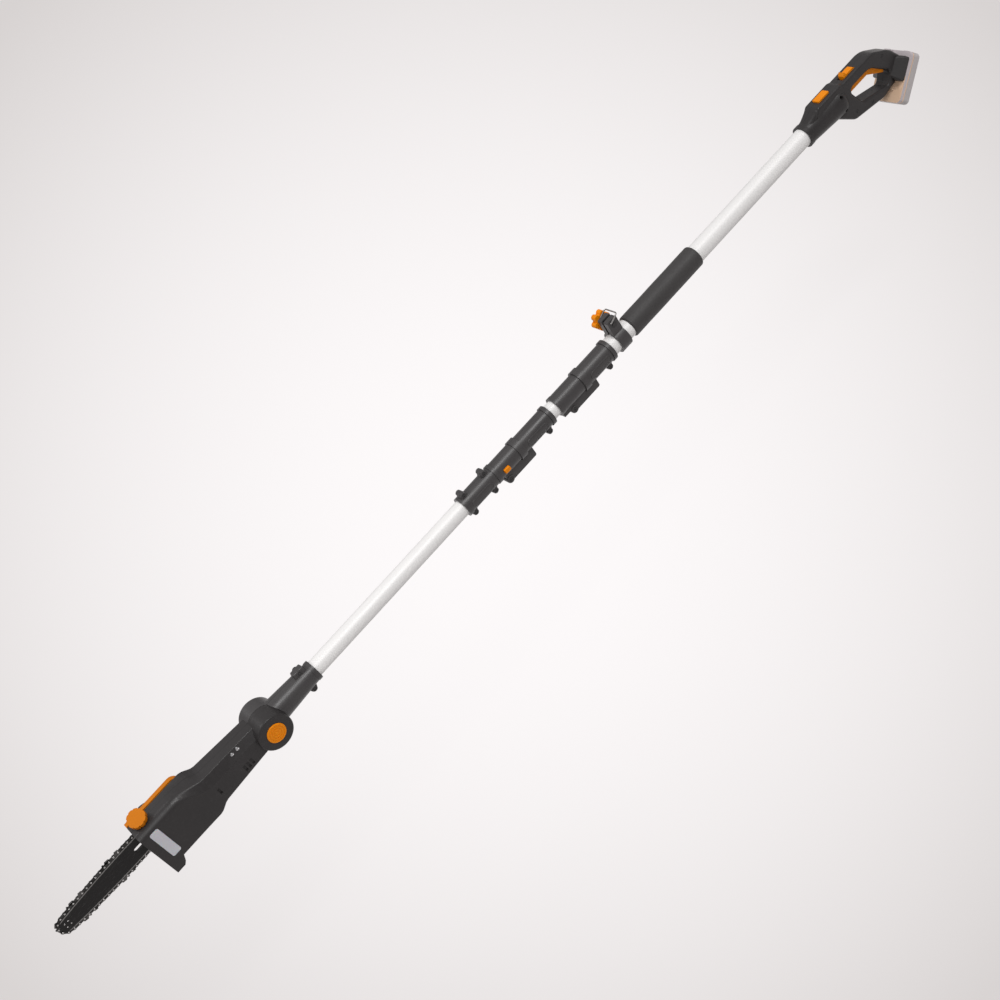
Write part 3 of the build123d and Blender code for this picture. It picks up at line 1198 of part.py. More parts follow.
with BuildPart() as chain_cutters:
    for index in range(1, 2 * LINK_PAIRS, 2):
        for side in (-1, 1):
            if index % 8 == 4 - 3 * side:
                with BuildSketch(link_plane(index, BAR_Y + side * SIDE_Y)):
                    Polygon(*CUTTER)
    extrude(amount=STRAP_T / 2, both=True)
    for index in range(1, 2 * LINK_PAIRS, 2):
        for side in (-1, 1):
            if index % 8 == 4 - 3 * side:
                with BuildSketch(link_plane(index, BAR_Y + side * SIDE_Y / 2)):
                    Polygon(*TOP_PLATE)
    extrude(amount=SIDE_Y / 2 + STRAP_T / 2, both=True)
chain_cutters.part.label = "chain_cutters"
export_step(chain_cutters.part, "parts/chain_cutters.step")

# Guide bar: two side plies on a smaller core, so that a groove runs round the edge
BAR_LINE_R = BAR_EDGE_R - RIVET_LIFT
BAR_END_X = STUD_X + BAR_TAIL
TAIL_TURN = math.acos((BAR_END_X - EDGE_X) / BAR_LINE_R)
MID_TURN = (NOSE_TURN + TAIL_TURN) / 2
NOSE_TOP = arc_point(EDGE_X, EDGE_Z, BAR_LINE_R, NOSE_TURN)
TAIL_TOP = arc_point(EDGE_X, EDGE_Z, BAR_LINE_R, TAIL_TURN)
MID_TOP = arc_point(EDGE_X, EDGE_Z, BAR_LINE_R, MID_TURN)
with BuildPart() as guide_bar:
    with BuildSketch(Plane.XZ.offset(-BAR_Y)) as bar_outline:
        with BuildLine():
            ThreePointArc(NOSE_TOP, (NOSE_X - BAR_NOSE_R, 0), (NOSE_TOP[0], -NOSE_TOP[1]))
            ThreePointArc((NOSE_TOP[0], -NOSE_TOP[1]), (MID_TOP[0], -MID_TOP[1]), (TAIL_TOP[0], -TAIL_TOP[1]))
            Line((TAIL_TOP[0], -TAIL_TOP[1]), TAIL_TOP)
            ThreePointArc(TAIL_TOP, MID_TOP, NOSE_TOP)
        make_face()
        with Locations((STUD_X + STUD_SETBACK - BAR_SLOT_LENGTH / 2, 0)):
            SlotOverall(BAR_SLOT_LENGTH, BAR_SLOT_WIDTH, mode=Mode.SUBTRACT)
    extrude(amount=1.5 * BAR_PLY, both=True)
    with BuildSketch(Plane.XZ.offset(-BAR_Y)):
        with BuildLine():
            ThreePointArc(NOSE_TOP, (NOSE_X - BAR_NOSE_R, 0), (NOSE_TOP[0], -NOSE_TOP[1]))
            ThreePointArc((NOSE_TOP[0], -NOSE_TOP[1]), (MID_TOP[0], -MID_TOP[1]), (TAIL_TOP[0], -TAIL_TOP[1]))
            Line((TAIL_TOP[0], -TAIL_TOP[1]), TAIL_TOP)
            ThreePointArc(TAIL_TOP, MID_TOP, NOSE_TOP)
        make_face()
        offset(amount=-GROOVE_DEPTH, mode=Mode.SUBTRACT)
    extrude(amount=BAR_PLY / 2, both=True, mode=Mode.SUBTRACT)
guide_bar.part.label = "guide_bar"
export_step(guide_bar.part, "parts/guide_bar.step")

# Bar stud, seated in the right half, through the bar and the cover into the knob
with BuildPart() as bar_stud:
    with BuildSketch(Plane.XZ.offset(-TANK_INNER - SEAT_FIT)):
        with Locations((STUD_X, 0)):
            Circle(BAR_STUD_D / 2)
    extrude(amount=-COVER_Y - COVER_KNOB_H / 2 + TANK_INNER)
bar_stud.part.label = "bar_stud"
export_step(bar_stud.part, "parts/bar_stud.step")

# Chain cover: a shallow shell over the sprocket and the bar's tail, open at the front
COVER_END_X = HEAD_X + COVER_LENGTH
with BuildPart() as chain_cover:
    with BuildSketch(Plane.XZ.offset(-HEAD_RIGHT)):
        with BuildLine():
            FilletPolyline(
                (HEAD_X, COVER_TOP), (COVER_END_X, COVER_TOP), (COVER_END_X, -COVER_BOTTOM), (HEAD_X, -COVER_BOTTOM),
                radius=[0, COVER_REAR_R, COVER_REAR_R, 0], close=True,
            )
        make_face()
    extrude(amount=HEAD_RIGHT - COVER_Y)
    fillet(chain_cover.faces().sort_by(Axis.Y)[-1].edges().sort_by(Axis.X)[1:], COVER_EDGE)
    offset(amount=-COVER_SKIN, openings=chain_cover.faces().sort_by(Axis.Y)[0])
    with BuildSketch(Plane.XZ.offset(-HEAD_RIGHT)):
        with Locations((HEAD_X, 0)):
            Rectangle(2 * COVER_EDGE, 2 * COVER_MOUTH)
    extrude(amount=HEAD_RIGHT - COVER_Y + COVER_SKIN, mode=Mode.SUBTRACT)
    with BuildSketch(Plane.XZ.offset(-HEAD_RIGHT)):
        with Locations((STUD_X, 0)):
            Circle(BAR_STUD_D / 2 + SCREW_FIT)
    extrude(amount=HEAD_RIGHT - COVER_Y, mode=Mode.SUBTRACT)
chain_cover.part.label = "chain_cover"
export_step(chain_cover.part, "parts/chain_cover.step")

# Cover knob: turned on the stud to clamp the cover and tension the chain
with BuildPart() as cover_knob:
    with BuildSketch(Plane.XZ.offset(-COVER_Y - LAP_GAP)):
        with Locations((STUD_X, 0)):
            Circle(COVER_KNOB_R)
            with PolarLocations(COVER_KNOB_R + COVER_KNOB_LOBE_R / 2, COVER_KNOB_LOBES):
                Circle(COVER_KNOB_LOBE_R, mode=Mode.SUBTRACT)
    extrude(amount=-COVER_KNOB_H)
    with BuildSketch(Plane.XZ.offset(-COVER_Y)):
        with Locations((STUD_X, 0)):
            Circle(BAR_STUD_D / 2 + SLIDE_FIT)
    extrude(amount=-COVER_KNOB_H / 2 - CLEAR, mode=Mode.SUBTRACT)
cover_knob.part.label = "cover_knob"
export_step(cover_knob.part, "parts/cover_knob.step")

# Motor can, in the neck
with BuildPart() as motor:
    with BuildSketch(Plane.YZ.offset(MOTOR_X + SEAT_FIT)):
        Circle(MOTOR_D / 2)
        Circle(MOTOR_SHAFT_D / 2 + SLIDE_FIT, mode=Mode.SUBTRACT)
    extrude(amount=MOTOR_LENGTH - 2 * SEAT_FIT)
motor.part.label = "motor"
export_step(motor.part, "parts/motor.step")

# Motor shaft with the pinion's pitch cylinder
with BuildPart() as motor_shaft:
    with BuildSketch(Plane.YZ.offset(MOTOR_X - MOTOR_SHAFT_OUT)):
        Circle(MOTOR_SHAFT_D / 2)
    extrude(amount=MOTOR_SHAFT_OUT + MOTOR_LENGTH / 2)
    with BuildSketch(Plane.YZ.offset(MOTOR_X - MOTOR_SHAFT_OUT)):
        Circle(PINION_R)
    extrude(amount=PINION_LENGTH)
motor_shaft.part.label = "motor_shaft"
export_step(motor_shaft.part, "parts/motor_shaft.step")

# Sprocket shaft with the face gear's disc
with BuildPart() as sprocket_shaft:
    with BuildSketch(Plane.XZ.offset(-PINION_R - CLEAR)):
        with Locations((SPROCKET_X, 0)):
            Circle(GEAR_R)
    extrude(amount=-GEAR_H)
    with BuildSketch(Plane.XZ.offset(-GEAR_END)):
        with Locations((SPROCKET_X, 0)):
            Circle(SHAFT_D / 2)
    extrude(amount=GEAR_END - COVER_Y + COVER_SKIN + CLEAR)
sprocket_shaft.part.label = "sprocket_shaft"
export_step(sprocket_shaft.part, "parts/sprocket_shaft.step")

# Shaft bush in the wall of the right half
with BuildPart() as shaft_bush:
    with BuildSketch(Plane.XZ.offset(-GEAR_END - CLEAR)):
        with Locations((SPROCKET_X, 0)):
            Circle(BUSH_D / 2)
            Circle(SHAFT_D / 2 + SLIDE_FIT, mode=Mode.SUBTRACT)
    extrude(amount=GEAR_END + CLEAR - HEAD_RIGHT)
shaft_bush.part.label = "shaft_bush"
export_step(shaft_bush.part, "parts/shaft_bush.step")

# Sprocket: a hub inside the drive links' tangs, with a flange beside the chain
with BuildPart() as sprocket:
    with BuildSketch(Plane.XZ.offset(-HEAD_RIGHT - CLEAR)):
        with Locations((SPROCKET_X, 0)):
            Circle(FLANGE_R)
            Circle(SHAFT_D / 2 + SEAT_FIT, mode=Mode.SUBTRACT)
    extrude(amount=-FLANGE_H)
    with BuildSketch(Plane.XZ.offset(-HEAD_RIGHT - CLEAR)):
        with Locations((SPROCKET_X, 0)):
            RegularPolygon(HUB_R, 6)
            Circle(SHAFT_D / 2 + SEAT_FIT, mode=Mode.SUBTRACT)
    extrude(amount=HEAD_RIGHT + 2 * CLEAR - COVER_Y + COVER_SKIN)
sprocket.part.label = "sprocket"
export_step(sprocket.part, "parts/sprocket.step")

# Rear handle: a turned barrel on the outer tube, a D loop and a flared battery dock
HAND_X = HANDLE_X + HAND_FRONT
BEND_X = HAND_X + HAND_BEND
REAR_X = HAND_X + HAND_LENGTH
REAR_Z = HAND_TOP - HAND_REAR_DROP
DOCK_COS = math.cos(math.radians(DOCK_ANGLE))
DOCK_SIN = math.sin(math.radians(DOCK_ANGLE))
DOCK = Plane(
    origin=(HANDLE_X + DOCK_BACK, 0, DOCK_Z), x_dir=(DOCK_SIN, 0, DOCK_COS), z_dir=(DOCK_COS, 0, -DOCK_SIN)
)


def on_dock(along, out):
    """Point (x, z) a distance along the dock plane and a distance out of it."""
    return (
        HANDLE_X + DOCK_BACK + along * DOCK_SIN + out * DOCK_COS,
        DOCK_Z + along * DOCK_COS - out * DOCK_SIN,
    )


BUTTON_X = HANDLE_X + TOP_BUTTON_BACK
LOCK_OFF_X = HANDLE_X + LOCK_OFF_BACK
LOCK_OFF_FLOOR = GRIP_TOP - LOCK_OFF_DEPTH - CLEAR
SWITCH_X = (HAND_X + BEND_X) / 2
SWITCH_TOP = LOCK_OFF_FLOOR - SWITCH_ROOF
PIN_X = HAND_X + TRIGGER_INSET + TRIGGER_PIN_BACK
PIN_Z = HAND_TOP + TRIGGER_PIN_UP
PRESS = math.sin(math.radians(TRIGGER_ANGLE))
PLUNGER_END = HAND_TOP + TRIGGER_INNER + (SWITCH_X - PIN_X) * PRESS + CLEAR
TRIGGER_ROOF = HAND_TOP + TRIGGER_HORN + 3 * CLEAR
TERMINAL_OUT = RAIL_NECK_H + RAIL_HEAD_H
HANDLE_SCREWS = [(HANDLE_X + back, z) for back, z in HANDLE_SCREW_SPOTS]
with BuildPart() as handle_form:
    with BuildSketch(Plane.XZ):
        with BuildLine():
            FilletPolyline(
                (HANDLE_X + RIDGE_FOOT, RIDGE_FOOT_Z), (HANDLE_X + RIDGE_FRONT, RIDGE_TOP),
                (HANDLE_X + RIDGE_REAR, RIDGE_TOP), (HANDLE_X + GRIP_FRONT, GRIP_TOP),
                (HANDLE_X + GRIP_BEND, GRIP_TOP), (HANDLE_X + GRIP_REAR, GRIP_REAR_Z),
                on_dock(DOCK_LENGTH / 2, -CLEAR), on_dock(-DOCK_LENGTH / 2, -CLEAR),
                (HANDLE_X + HEEL_BACK, HEEL_BACK_Z), (HANDLE_X + HEEL_FRONT, HEEL_FRONT_Z),
                radius=[
                    0, RIDGE_R, RIDGE_R, RIDGE_R, GRIP_BEND_R, GRIP_REAR_R,
                    DOCK_CORNER, DOCK_CORNER, HEEL_R, HEEL_R,
                ],
                close=True,
            )
        make_face()
        with BuildLine():
            FilletPolyline(
                (HAND_X, HAND_TOP), (BEND_X, HAND_TOP), (REAR_X, REAR_Z),
                (REAR_X - HAND_REAR_LEAN, HAND_TOP - HAND_HEIGHT),
                (HAND_X + HAND_FRONT_LEAN, HAND_TOP - HAND_FRONT_HEIGHT),
                radius=[HAND_CORNER, HAND_BEND_R, HAND_CORNER, HAND_CORNER, HAND_CORNER], close=True,
            )
        make_face(mode=Mode.SUBTRACT)
    extrude(amount=HANDLE_HALF, both=True)
    for side in (0, -1):
        fillet(handle_form.faces().sort_by(Axis.Y)[side].outer_wire().edges(), HANDLE_EDGE)
        fillet(handle_form.faces().sort_by(Axis.Y)[side].inner_wires()[0].edges(), HANDLE_EDGE)
    with BuildSketch(Plane.XZ):
        with BuildLine():
            FilletPolyline(
                (HANDLE_X, 0), (HANDLE_X, HANDLE_RIM_R), (HANDLE_X + HANDLE_RIM, HANDLE_RIM_R),
                (HANDLE_X + HANDLE_RIM, HANDLE_FRONT_R), (HANDLE_X + HANDLE_NECK, HANDLE_NECK_R),
                (HANDLE_X + HANDLE_NECK, 0),
                radius=[0, 0, 0, 0, HANDLE_DOME, 0], close=True,
            )
        make_face()
    revolve(axis=Axis.X)
    with BuildSketch(DOCK.offset(-DOCK_PLATE - DOCK_FLARE)):
        RectangleRounded(DOCK_ROOT, 2 * (HANDLE_HALF - BUTTON_EDGE), HANDLE_EDGE)
    with BuildSketch(DOCK.offset(-DOCK_PLATE)):
        RectangleRounded(DOCK_LENGTH, DOCK_WIDTH, HANDLE_EDGE)
    loft()
    with BuildSketch(DOCK.offset(-DOCK_PLATE)):
        RectangleRounded(DOCK_LENGTH, DOCK_WIDTH, HANDLE_EDGE)
    extrude(amount=DOCK_PLATE)
    with BuildSketch(DOCK):
        Rectangle(RAIL_LENGTH, RAIL_NECK)
    extrude(amount=RAIL_NECK_H)
    with BuildSketch(DOCK.offset(RAIL_NECK_H)):
        Rectangle(RAIL_LENGTH, RAIL_HEAD)
    extrude(amount=RAIL_HEAD_H)
    with BuildSketch(DOCK.offset(TERMINAL_OUT)):
        Rectangle(TERMINAL_LENGTH, TERMINAL_LENGTH)
    extrude(amount=-TERMINAL_H, mode=Mode.SUBTRACT)
    with BuildSketch(Plane.YZ.offset(HANDLE_X)):
        Circle(OUTER_TUBE_R + SEAT_FIT)
    extrude(amount=TUBE_SEAT, mode=Mode.SUBTRACT)
    with BuildSketch(Plane.XY.offset(RIDGE_TOP - TOP_BUTTON_DEPTH - TOP_BUTTON_TRAVEL - CLEAR)):
        with Locations((BUTTON_X, 0)):
            RectangleRounded(TOP_BUTTON_LENGTH + 2 * CLEAR, TOP_BUTTON_WIDTH + 2 * CLEAR, BUTTON_EDGE)
    extrude(amount=HANDLE_NECK_R, mode=Mode.SUBTRACT)
    with BuildSketch(Plane.XY.offset(LOCK_OFF_FLOOR)):
        with Locations((LOCK_OFF_X - LOCK_OFF_TRAVEL / 2, LOCK_OFF_Y)):
            Rectangle(LOCK_OFF_LENGTH + LOCK_OFF_TRAVEL + 2 * CLEAR, LOCK_OFF_WIDTH + 2 * CLEAR)
    extrude(amount=HANDLE_NECK_R, mode=Mode.SUBTRACT)
    with BuildSketch(Plane.XZ):
        Polygon(
            (HAND_X + TRIGGER_INSET - 2 * CLEAR, HAND_TOP - TRIGGER_INSET),
            (HAND_X + TRIGGER_INSET - 2 * CLEAR, TRIGGER_ROOF), (BEND_X + TRIGGER_INSET, TRIGGER_ROOF),
            (REAR_X + TRIGGER_INSET, REAR_Z + 2 * TRIGGER_HORN), (REAR_X + TRIGGER_INSET / 2, REAR_Z),
            (BEND_X, HAND_TOP - TRIGGER_DROP),
            (HAND_X + TRIGGER_TOE - 2 * CLEAR, HAND_TOP - TRIGGER_DROP - TRIGGER_INSET),
        )
    extrude(amount=TRIGGER_HALF + CLEAR, both=True, mode=Mode.SUBTRACT)
    with BuildSketch(Plane.XZ):
        with Locations((PIN_X, PIN_Z)):
            Circle(TRIGGER_PIN_D / 2 + SLIDE_FIT)
    extrude(amount=TRIGGER_PIN_REACH + CLEAR, both=True, mode=Mode.SUBTRACT)
    with BuildSketch(Plane.XY.offset(SWITCH_TOP)):
        with Locations((SWITCH_X, 0)):
            Rectangle(SWITCH_LENGTH, 2 * SWITCH_HALF)
    extrude(amount=-SWITCH_HEIGHT, mode=Mode.SUBTRACT)
    with BuildSketch(Plane.XY.offset(SWITCH_TOP)):
        with Locations((SWITCH_X, 0)):
            Circle(PLUNGER_D / 2 + CLEAR)
    extrude(amount=HAND_TOP - SWITCH_TOP, mode=Mode.SUBTRACT)
    with BuildSketch(Plane.XZ.offset(HANDLE_HALF - SCREW_SINK - SCREW_HEAD_H)):
        with Locations(*HANDLE_SCREWS):
            Circle(SCREW_HEAD_D / 2 + SCREW_FIT)
    extrude(amount=HANDLE_NECK_R, mode=Mode.SUBTRACT)
    with BuildSketch(Plane.XZ.offset(HANDLE_HALF)):
        with Locations(*HANDLE_SCREWS):
            Circle(HOLE_R)
    extrude(amount=-1.5 * HANDLE_HALF, mode=Mode.SUBTRACT)
with BuildPart() as handle_left:
    add(handle_form.part)
    split(bisect_by=Plane.XZ, keep=Keep.TOP)
handle_left.part.label = "handle_left"
export_step(handle_left.part, "parts/handle_left.step")
with BuildPart() as handle_right:
    add(handle_form.part)
    split(bisect_by=Plane.XZ, keep=Keep.BOTTOM)
handle_right.part.label = "handle_right"
export_step(handle_right.part, "parts/handle_right.step")
with BuildPart() as handle_screws:
    with BuildSketch(Plane.XZ.offset(HANDLE_HALF - SCREW_SINK - SCREW_HEAD_H)):
        with Locations(*HANDLE_SCREWS):
            Circle(SCREW_HEAD_D / 2)
    extrude(amount=SCREW_HEAD_H)
    with BuildSketch(Plane.XZ.offset(HANDLE_HALF - SCREW_SINK - SCREW_HEAD_H)):
        with Locations(*HANDLE_SCREWS):
            Circle(SCREW_R)
    extrude(amount=-1.25 * HANDLE_HALF)
handle_screws.part.label = "handle_screws"
export_step(handle_screws.part, "parts/handle_screws.step")

# Trigger: a paddle under the grip on a cross pin at its front end
SLOPE = math.atan2(HAND_REAR_DROP, HAND_LENGTH - HAND_BEND)
REAR_STOP_X = REAR_X - TRIGGER_STOP * math.cos(SLOPE)
REAR_STOP_Z = REAR_Z + TRIGGER_STOP * math.sin(SLOPE)
HALF_BEND = math.tan(SLOPE / 2)
with BuildPart() as trigger:
    with BuildSketch(Plane.XZ):
        Polygon(
            (HAND_X + TRIGGER_INSET, HAND_TOP + TRIGGER_HORN),
            (PIN_X + TRIGGER_PIN_BACK, HAND_TOP + TRIGGER_HORN),
            (PIN_X + 2 * TRIGGER_PIN_BACK, HAND_TOP + TRIGGER_INNER),
            (BEND_X + TRIGGER_INNER * HALF_BEND, HAND_TOP + TRIGGER_INNER),
            (REAR_STOP_X + TRIGGER_INNER * math.sin(SLOPE), REAR_STOP_Z + TRIGGER_INNER * math.cos(SLOPE)),
            (
                REAR_STOP_X - TRIGGER_REAR_DROP * math.sin(SLOPE),
                REAR_STOP_Z - TRIGGER_REAR_DROP * math.cos(SLOPE),
            ),
            (BEND_X - TRIGGER_DROP * HALF_BEND, HAND_TOP - TRIGGER_DROP),
            (HAND_X + TRIGGER_TOE, HAND_TOP - TRIGGER_DROP),
            (HAND_X + TRIGGER_INSET, HAND_TOP - TRIGGER_INSET),
        )
    extrude(amount=TRIGGER_HALF, both=True)
    with BuildSketch(Plane.XZ):
        with Locations((PIN_X, PIN_Z)):
            Circle(TRIGGER_PIN_D / 2)
    extrude(amount=TRIGGER_PIN_REACH, both=True)
trigger.part.label = "trigger"
export_step(trigger.part, "parts/trigger.step")

# Switch over the trigger
with BuildPart() as trigger_switch:
    with BuildSketch(Plane.XY.offset(SWITCH_TOP - SEAT_FIT)):
        with Locations((SWITCH_X, 0)):
            Rectangle(SWITCH_LENGTH - 2 * SEAT_FIT, 2 * SWITCH_HALF - 2 * SEAT_FIT)
    extrude(amount=-SWITCH_HEIGHT + 2 * SEAT_FIT)
    with BuildSketch(Plane.XY.offset(PLUNGER_END)):
        with Locations((SWITCH_X, 0)):
            Circle(PLUNGER_D / 2)
    extrude(amount=SWITCH_TOP - SEAT_FIT - PLUNGER_END)
trigger_switch.part.label = "trigger_switch"
export_step(trigger_switch.part, "parts/trigger_switch.step")

# Lock-off slider on the grip, with a thumb nub at its front
with BuildPart() as lock_off:
    with BuildSketch(Plane.XZ.offset(-LOCK_OFF_Y)):
        with Locations((LOCK_OFF_X, GRIP_TOP)):
            Polygon(
                (-LOCK_OFF_LENGTH / 2, -LOCK_OFF_DEPTH), (LOCK_OFF_LENGTH / 2, -LOCK_OFF_DEPTH),
                (LOCK_OFF_LENGTH / 2, 0), (LOCK_OFF_LENGTH / 2 - LOCK_OFF_NUB, LOCK_OFF_PLATE),
                (2 * LOCK_OFF_NUB - LOCK_OFF_LENGTH / 2, LOCK_OFF_PLATE),
                (LOCK_OFF_NUB - LOCK_OFF_LENGTH / 2, LOCK_OFF_PROUD), (-LOCK_OFF_LENGTH / 2, LOCK_OFF_PLATE),
                align=None,
            )
    extrude(amount=LOCK_OFF_WIDTH / 2, both=True)
lock_off.part.label = "lock_off"
export_step(lock_off.part, "parts/lock_off.step")

# Top button on the barrel
with BuildPart() as top_button:
    with BuildSketch(Plane.XY.offset(RIDGE_TOP - TOP_BUTTON_DEPTH)):
        with Locations((BUTTON_X, 0)):
            RectangleRounded(TOP_BUTTON_LENGTH, TOP_BUTTON_WIDTH, BUTTON_EDGE)
    extrude(amount=TOP_BUTTON_DEPTH + TOP_BUTTON_PROUD)
    fillet(top_button.faces().sort_by(Axis.Z)[-1].edges(), BUTTON_EDGE / 2)
top_button.part.label = "top_button"
export_step(top_button.part, "parts/top_button.step")

# Terminal block in the dock's rail
with BuildPart() as terminal_block:
    with BuildSketch(DOCK.offset(TERMINAL_OUT)):
        Rectangle(TERMINAL_LENGTH - 2 * SEAT_FIT, TERMINAL_LENGTH - 2 * SEAT_FIT)
        with GridLocations(0, TERMINAL_PITCH, 1, TERMINAL_SLOTS):
            Rectangle(TERMINAL_LENGTH, TERMINAL_SLOT, mode=Mode.SUBTRACT)
    extrude(amount=-TERMINAL_H + SEAT_FIT)
    with BuildSketch(DOCK.offset(TERMINAL_OUT - TERMINAL_H + SEAT_FIT)):
        Rectangle(TERMINAL_LENGTH - 2 * SEAT_FIT, TERMINAL_LENGTH - 2 * SEAT_FIT)
    extrude(amount=TERMINAL_H / 4)
terminal_block.part.label = "terminal_block"
export_step(terminal_block.part, "parts/terminal_block.step")

# Battery pack: front with the rail's slot, a thin band and the rear case
PACK_X = DOCK_LENGTH / 2 + PACK_RISE - PACK_LENGTH / 2
PACK_TOP = DOCK_LENGTH / 2 + PACK_RISE
SLOT_X = -RAIL_LENGTH / 2 - CLEAR
LATCH_X = -DOCK_LENGTH / 2 - LATCH_GAP - LATCH_LENGTH / 2
with BuildPart() as battery_front:
    with BuildSketch(DOCK.offset(CLEAR)):
        with Locations((PACK_X, 0)):
            RectangleRounded(PACK_LENGTH, PACK_WIDTH, PACK_CORNER)
    extrude(amount=PACK_FRONT)
    with BuildSketch(DOCK):
        with Locations(((SLOT_X + PACK_TOP) / 2, 0)):
            Rectangle(PACK_TOP - SLOT_X, RAIL_NECK + 2 * CLEAR)
    extrude(amount=RAIL_NECK_H, mode=Mode.SUBTRACT)
    with BuildSketch(DOCK.offset(RAIL_NECK_H - CLEAR)):
        with Locations(((SLOT_X + PACK_TOP) / 2, 0)):
            Rectangle(PACK_TOP - SLOT_X, RAIL_HEAD + 2 * CLEAR)
    extrude(amount=RAIL_HEAD_H + 2 * CLEAR, mode=Mode.SUBTRACT)
    with BuildSketch(DOCK.offset(CLEAR)):
        with Locations((LATCH_X, 0)):
            RectangleRounded(LATCH_LENGTH + 2 * CLEAR, LATCH_WIDTH + 2 * CLEAR, BUTTON_EDGE)
    extrude(amount=LATCH_DEPTH + LATCH_TRAVEL + CLEAR, mode=Mode.SUBTRACT)
battery_front.part.label = "battery_front"
export_step(battery_front.part, "parts/battery_front.step")
with BuildPart() as battery_band:
    with BuildSketch(DOCK.offset(CLEAR + PACK_FRONT)):
        with Locations((PACK_X, 0)):
            RectangleRounded(
                PACK_LENGTH - 2 * PACK_BAND_INSET, PACK_WIDTH - 2 * PACK_BAND_INSET, PACK_CORNER - PACK_BAND_INSET
            )
    extrude(amount=PACK_BAND)
battery_band.part.label = "battery_band"
export_step(battery_band.part, "parts/battery_band.step")
with BuildPart() as battery_rear:
    with BuildSketch(DOCK.offset(CLEAR + PACK_DEPTH)):
        with Locations((PACK_X, 0)):
            RectangleRounded(PACK_LENGTH, PACK_WIDTH, PACK_CORNER)
    extrude(amount=PACK_FRONT + PACK_BAND - PACK_DEPTH)
    fillet(battery_rear.faces().sort_by(Axis(DOCK.origin, DOCK.z_dir))[-1].edges(), PACK_EDGE)
battery_rear.part.label = "battery_rear"
export_step(battery_rear.part, "parts/battery_rear.step")
with BuildPart() as battery_latch:
    with BuildSketch(DOCK.offset(CLEAR - LATCH_PROUD)):
        with Locations((LATCH_X, 0)):
            RectangleRounded(LATCH_LENGTH, LATCH_WIDTH, BUTTON_EDGE)
    extrude(amount=LATCH_PROUD + LATCH_DEPTH)
battery_latch.part.label = "battery_latch"
export_step(battery_latch.part, "parts/battery_latch.step")
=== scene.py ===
import math

import bmesh
import bpy
import numpy as np
from mathutils import Matrix, Vector


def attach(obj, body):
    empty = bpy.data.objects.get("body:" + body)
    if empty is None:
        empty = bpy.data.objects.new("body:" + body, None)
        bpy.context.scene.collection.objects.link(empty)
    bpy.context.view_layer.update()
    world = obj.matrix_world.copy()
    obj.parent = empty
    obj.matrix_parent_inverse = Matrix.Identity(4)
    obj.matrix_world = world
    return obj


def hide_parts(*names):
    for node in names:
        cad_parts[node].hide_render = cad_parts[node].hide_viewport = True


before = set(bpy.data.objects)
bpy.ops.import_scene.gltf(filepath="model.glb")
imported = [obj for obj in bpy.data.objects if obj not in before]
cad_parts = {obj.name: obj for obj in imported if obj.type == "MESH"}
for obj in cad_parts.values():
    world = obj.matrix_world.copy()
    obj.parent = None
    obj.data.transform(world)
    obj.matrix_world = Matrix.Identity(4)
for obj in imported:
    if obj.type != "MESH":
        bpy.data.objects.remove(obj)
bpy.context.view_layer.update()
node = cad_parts


# Pole tubes: three lengths of drawn aluminium tube that slide or plug into each other.
# They are brushed along their length and have a satin clear coat, rubbed a little duller
# where hands and couplings run on them.
FINISH = [("Colour", "Color"), ("Roughness", "Float"), ("Height", "Float")]


def node_group(name, inputs, outputs):
    """Empty shader group; returns it with the sockets that it takes from and gives to."""
    tree = bpy.data.node_groups.new(name, "ShaderNodeTree")
    for label, kind, value in inputs:
        socket = tree.interface.new_socket(label, in_out="INPUT", socket_type="NodeSocket" + kind)
        if value is not None:
            socket.default_value = value
    for label, kind in outputs:
        tree.interface.new_socket(label, in_out="OUTPUT", socket_type="NodeSocket" + kind)
    return tree, tree.nodes.new("NodeGroupInput").outputs, tree.nodes.new("NodeGroupOutput").inputs


def send(tree, give, **results):
    """Links a group's results to the sockets that it gives to, by name."""
    for label, result in results.items():
        tree.links.new(result, give[label])


def put(tree, kind, settings=(), **wires):
    """Adds a node; settings are attributes, wires are inputs by name or as i0, i1 and so on.

    A wire that is a socket is linked, and a number, colour or vector is set.
    """
    made = tree.nodes.new("ShaderNode" + kind)
    for key, value in dict(settings).items():
        setattr(made, key, value)
    for key, value in wires.items():
        numbered = key[0] == "i" and key[1:].isdigit()
        target = made.inputs[int(key[1:]) if numbered else key.replace("_", " ")]
        if isinstance(value, bpy.types.NodeSocket):
            tree.links.new(value, target)
        else:
            target.default_value = value
    return made


def maths(tree, operation, first, second=0.0, third=0.0):
    """Math node: operation on up to three sockets or numbers; returns its result."""
    return put(tree, "Math", {"operation": operation}, i0=first, i1=second, i2=third).outputs[0]


def vectors(tree, operation, first, second, result="Vector"):
    """Vector Math node: operation on two vectors; returns its Vector or its Value."""
    return put(tree, "VectorMath", {"operation": operation}, i0=first, i1=second).outputs[result]


def scaled(tree, colour, share):
    """A colour times a number; returns the darker or paler colour."""
    return put(tree, "VectorMath", {"operation": "SCALE"}, i0=colour, Scale=share).outputs[0]


def noise(tree, place, scale, detail, **more):
    """Noise texture read at a place; returns its grey value."""
    return put(tree, "TexNoise", Vector=place, Scale=scale, Detail=detail, **more).outputs["Fac"]


def ramp(tree, value, start, end, first=0.0, last=1.0, kind="LINEAR"):
    """Map Range node: goes from first at start to last at end, level beyond both."""
    settings = {"interpolation_type": kind}
    made = put(tree, "MapRange", settings, Value=value, i1=start, i2=end, i3=first, i4=last)
    return made.outputs[0]


def blend_colour(tree, share, low, high):
    """Mix of two colours by a share from 0 to 1; returns the mixed colour."""
    return put(tree, "Mix", {"data_type": "RGBA"}, i0=share, i6=low, i7=high).outputs[2]


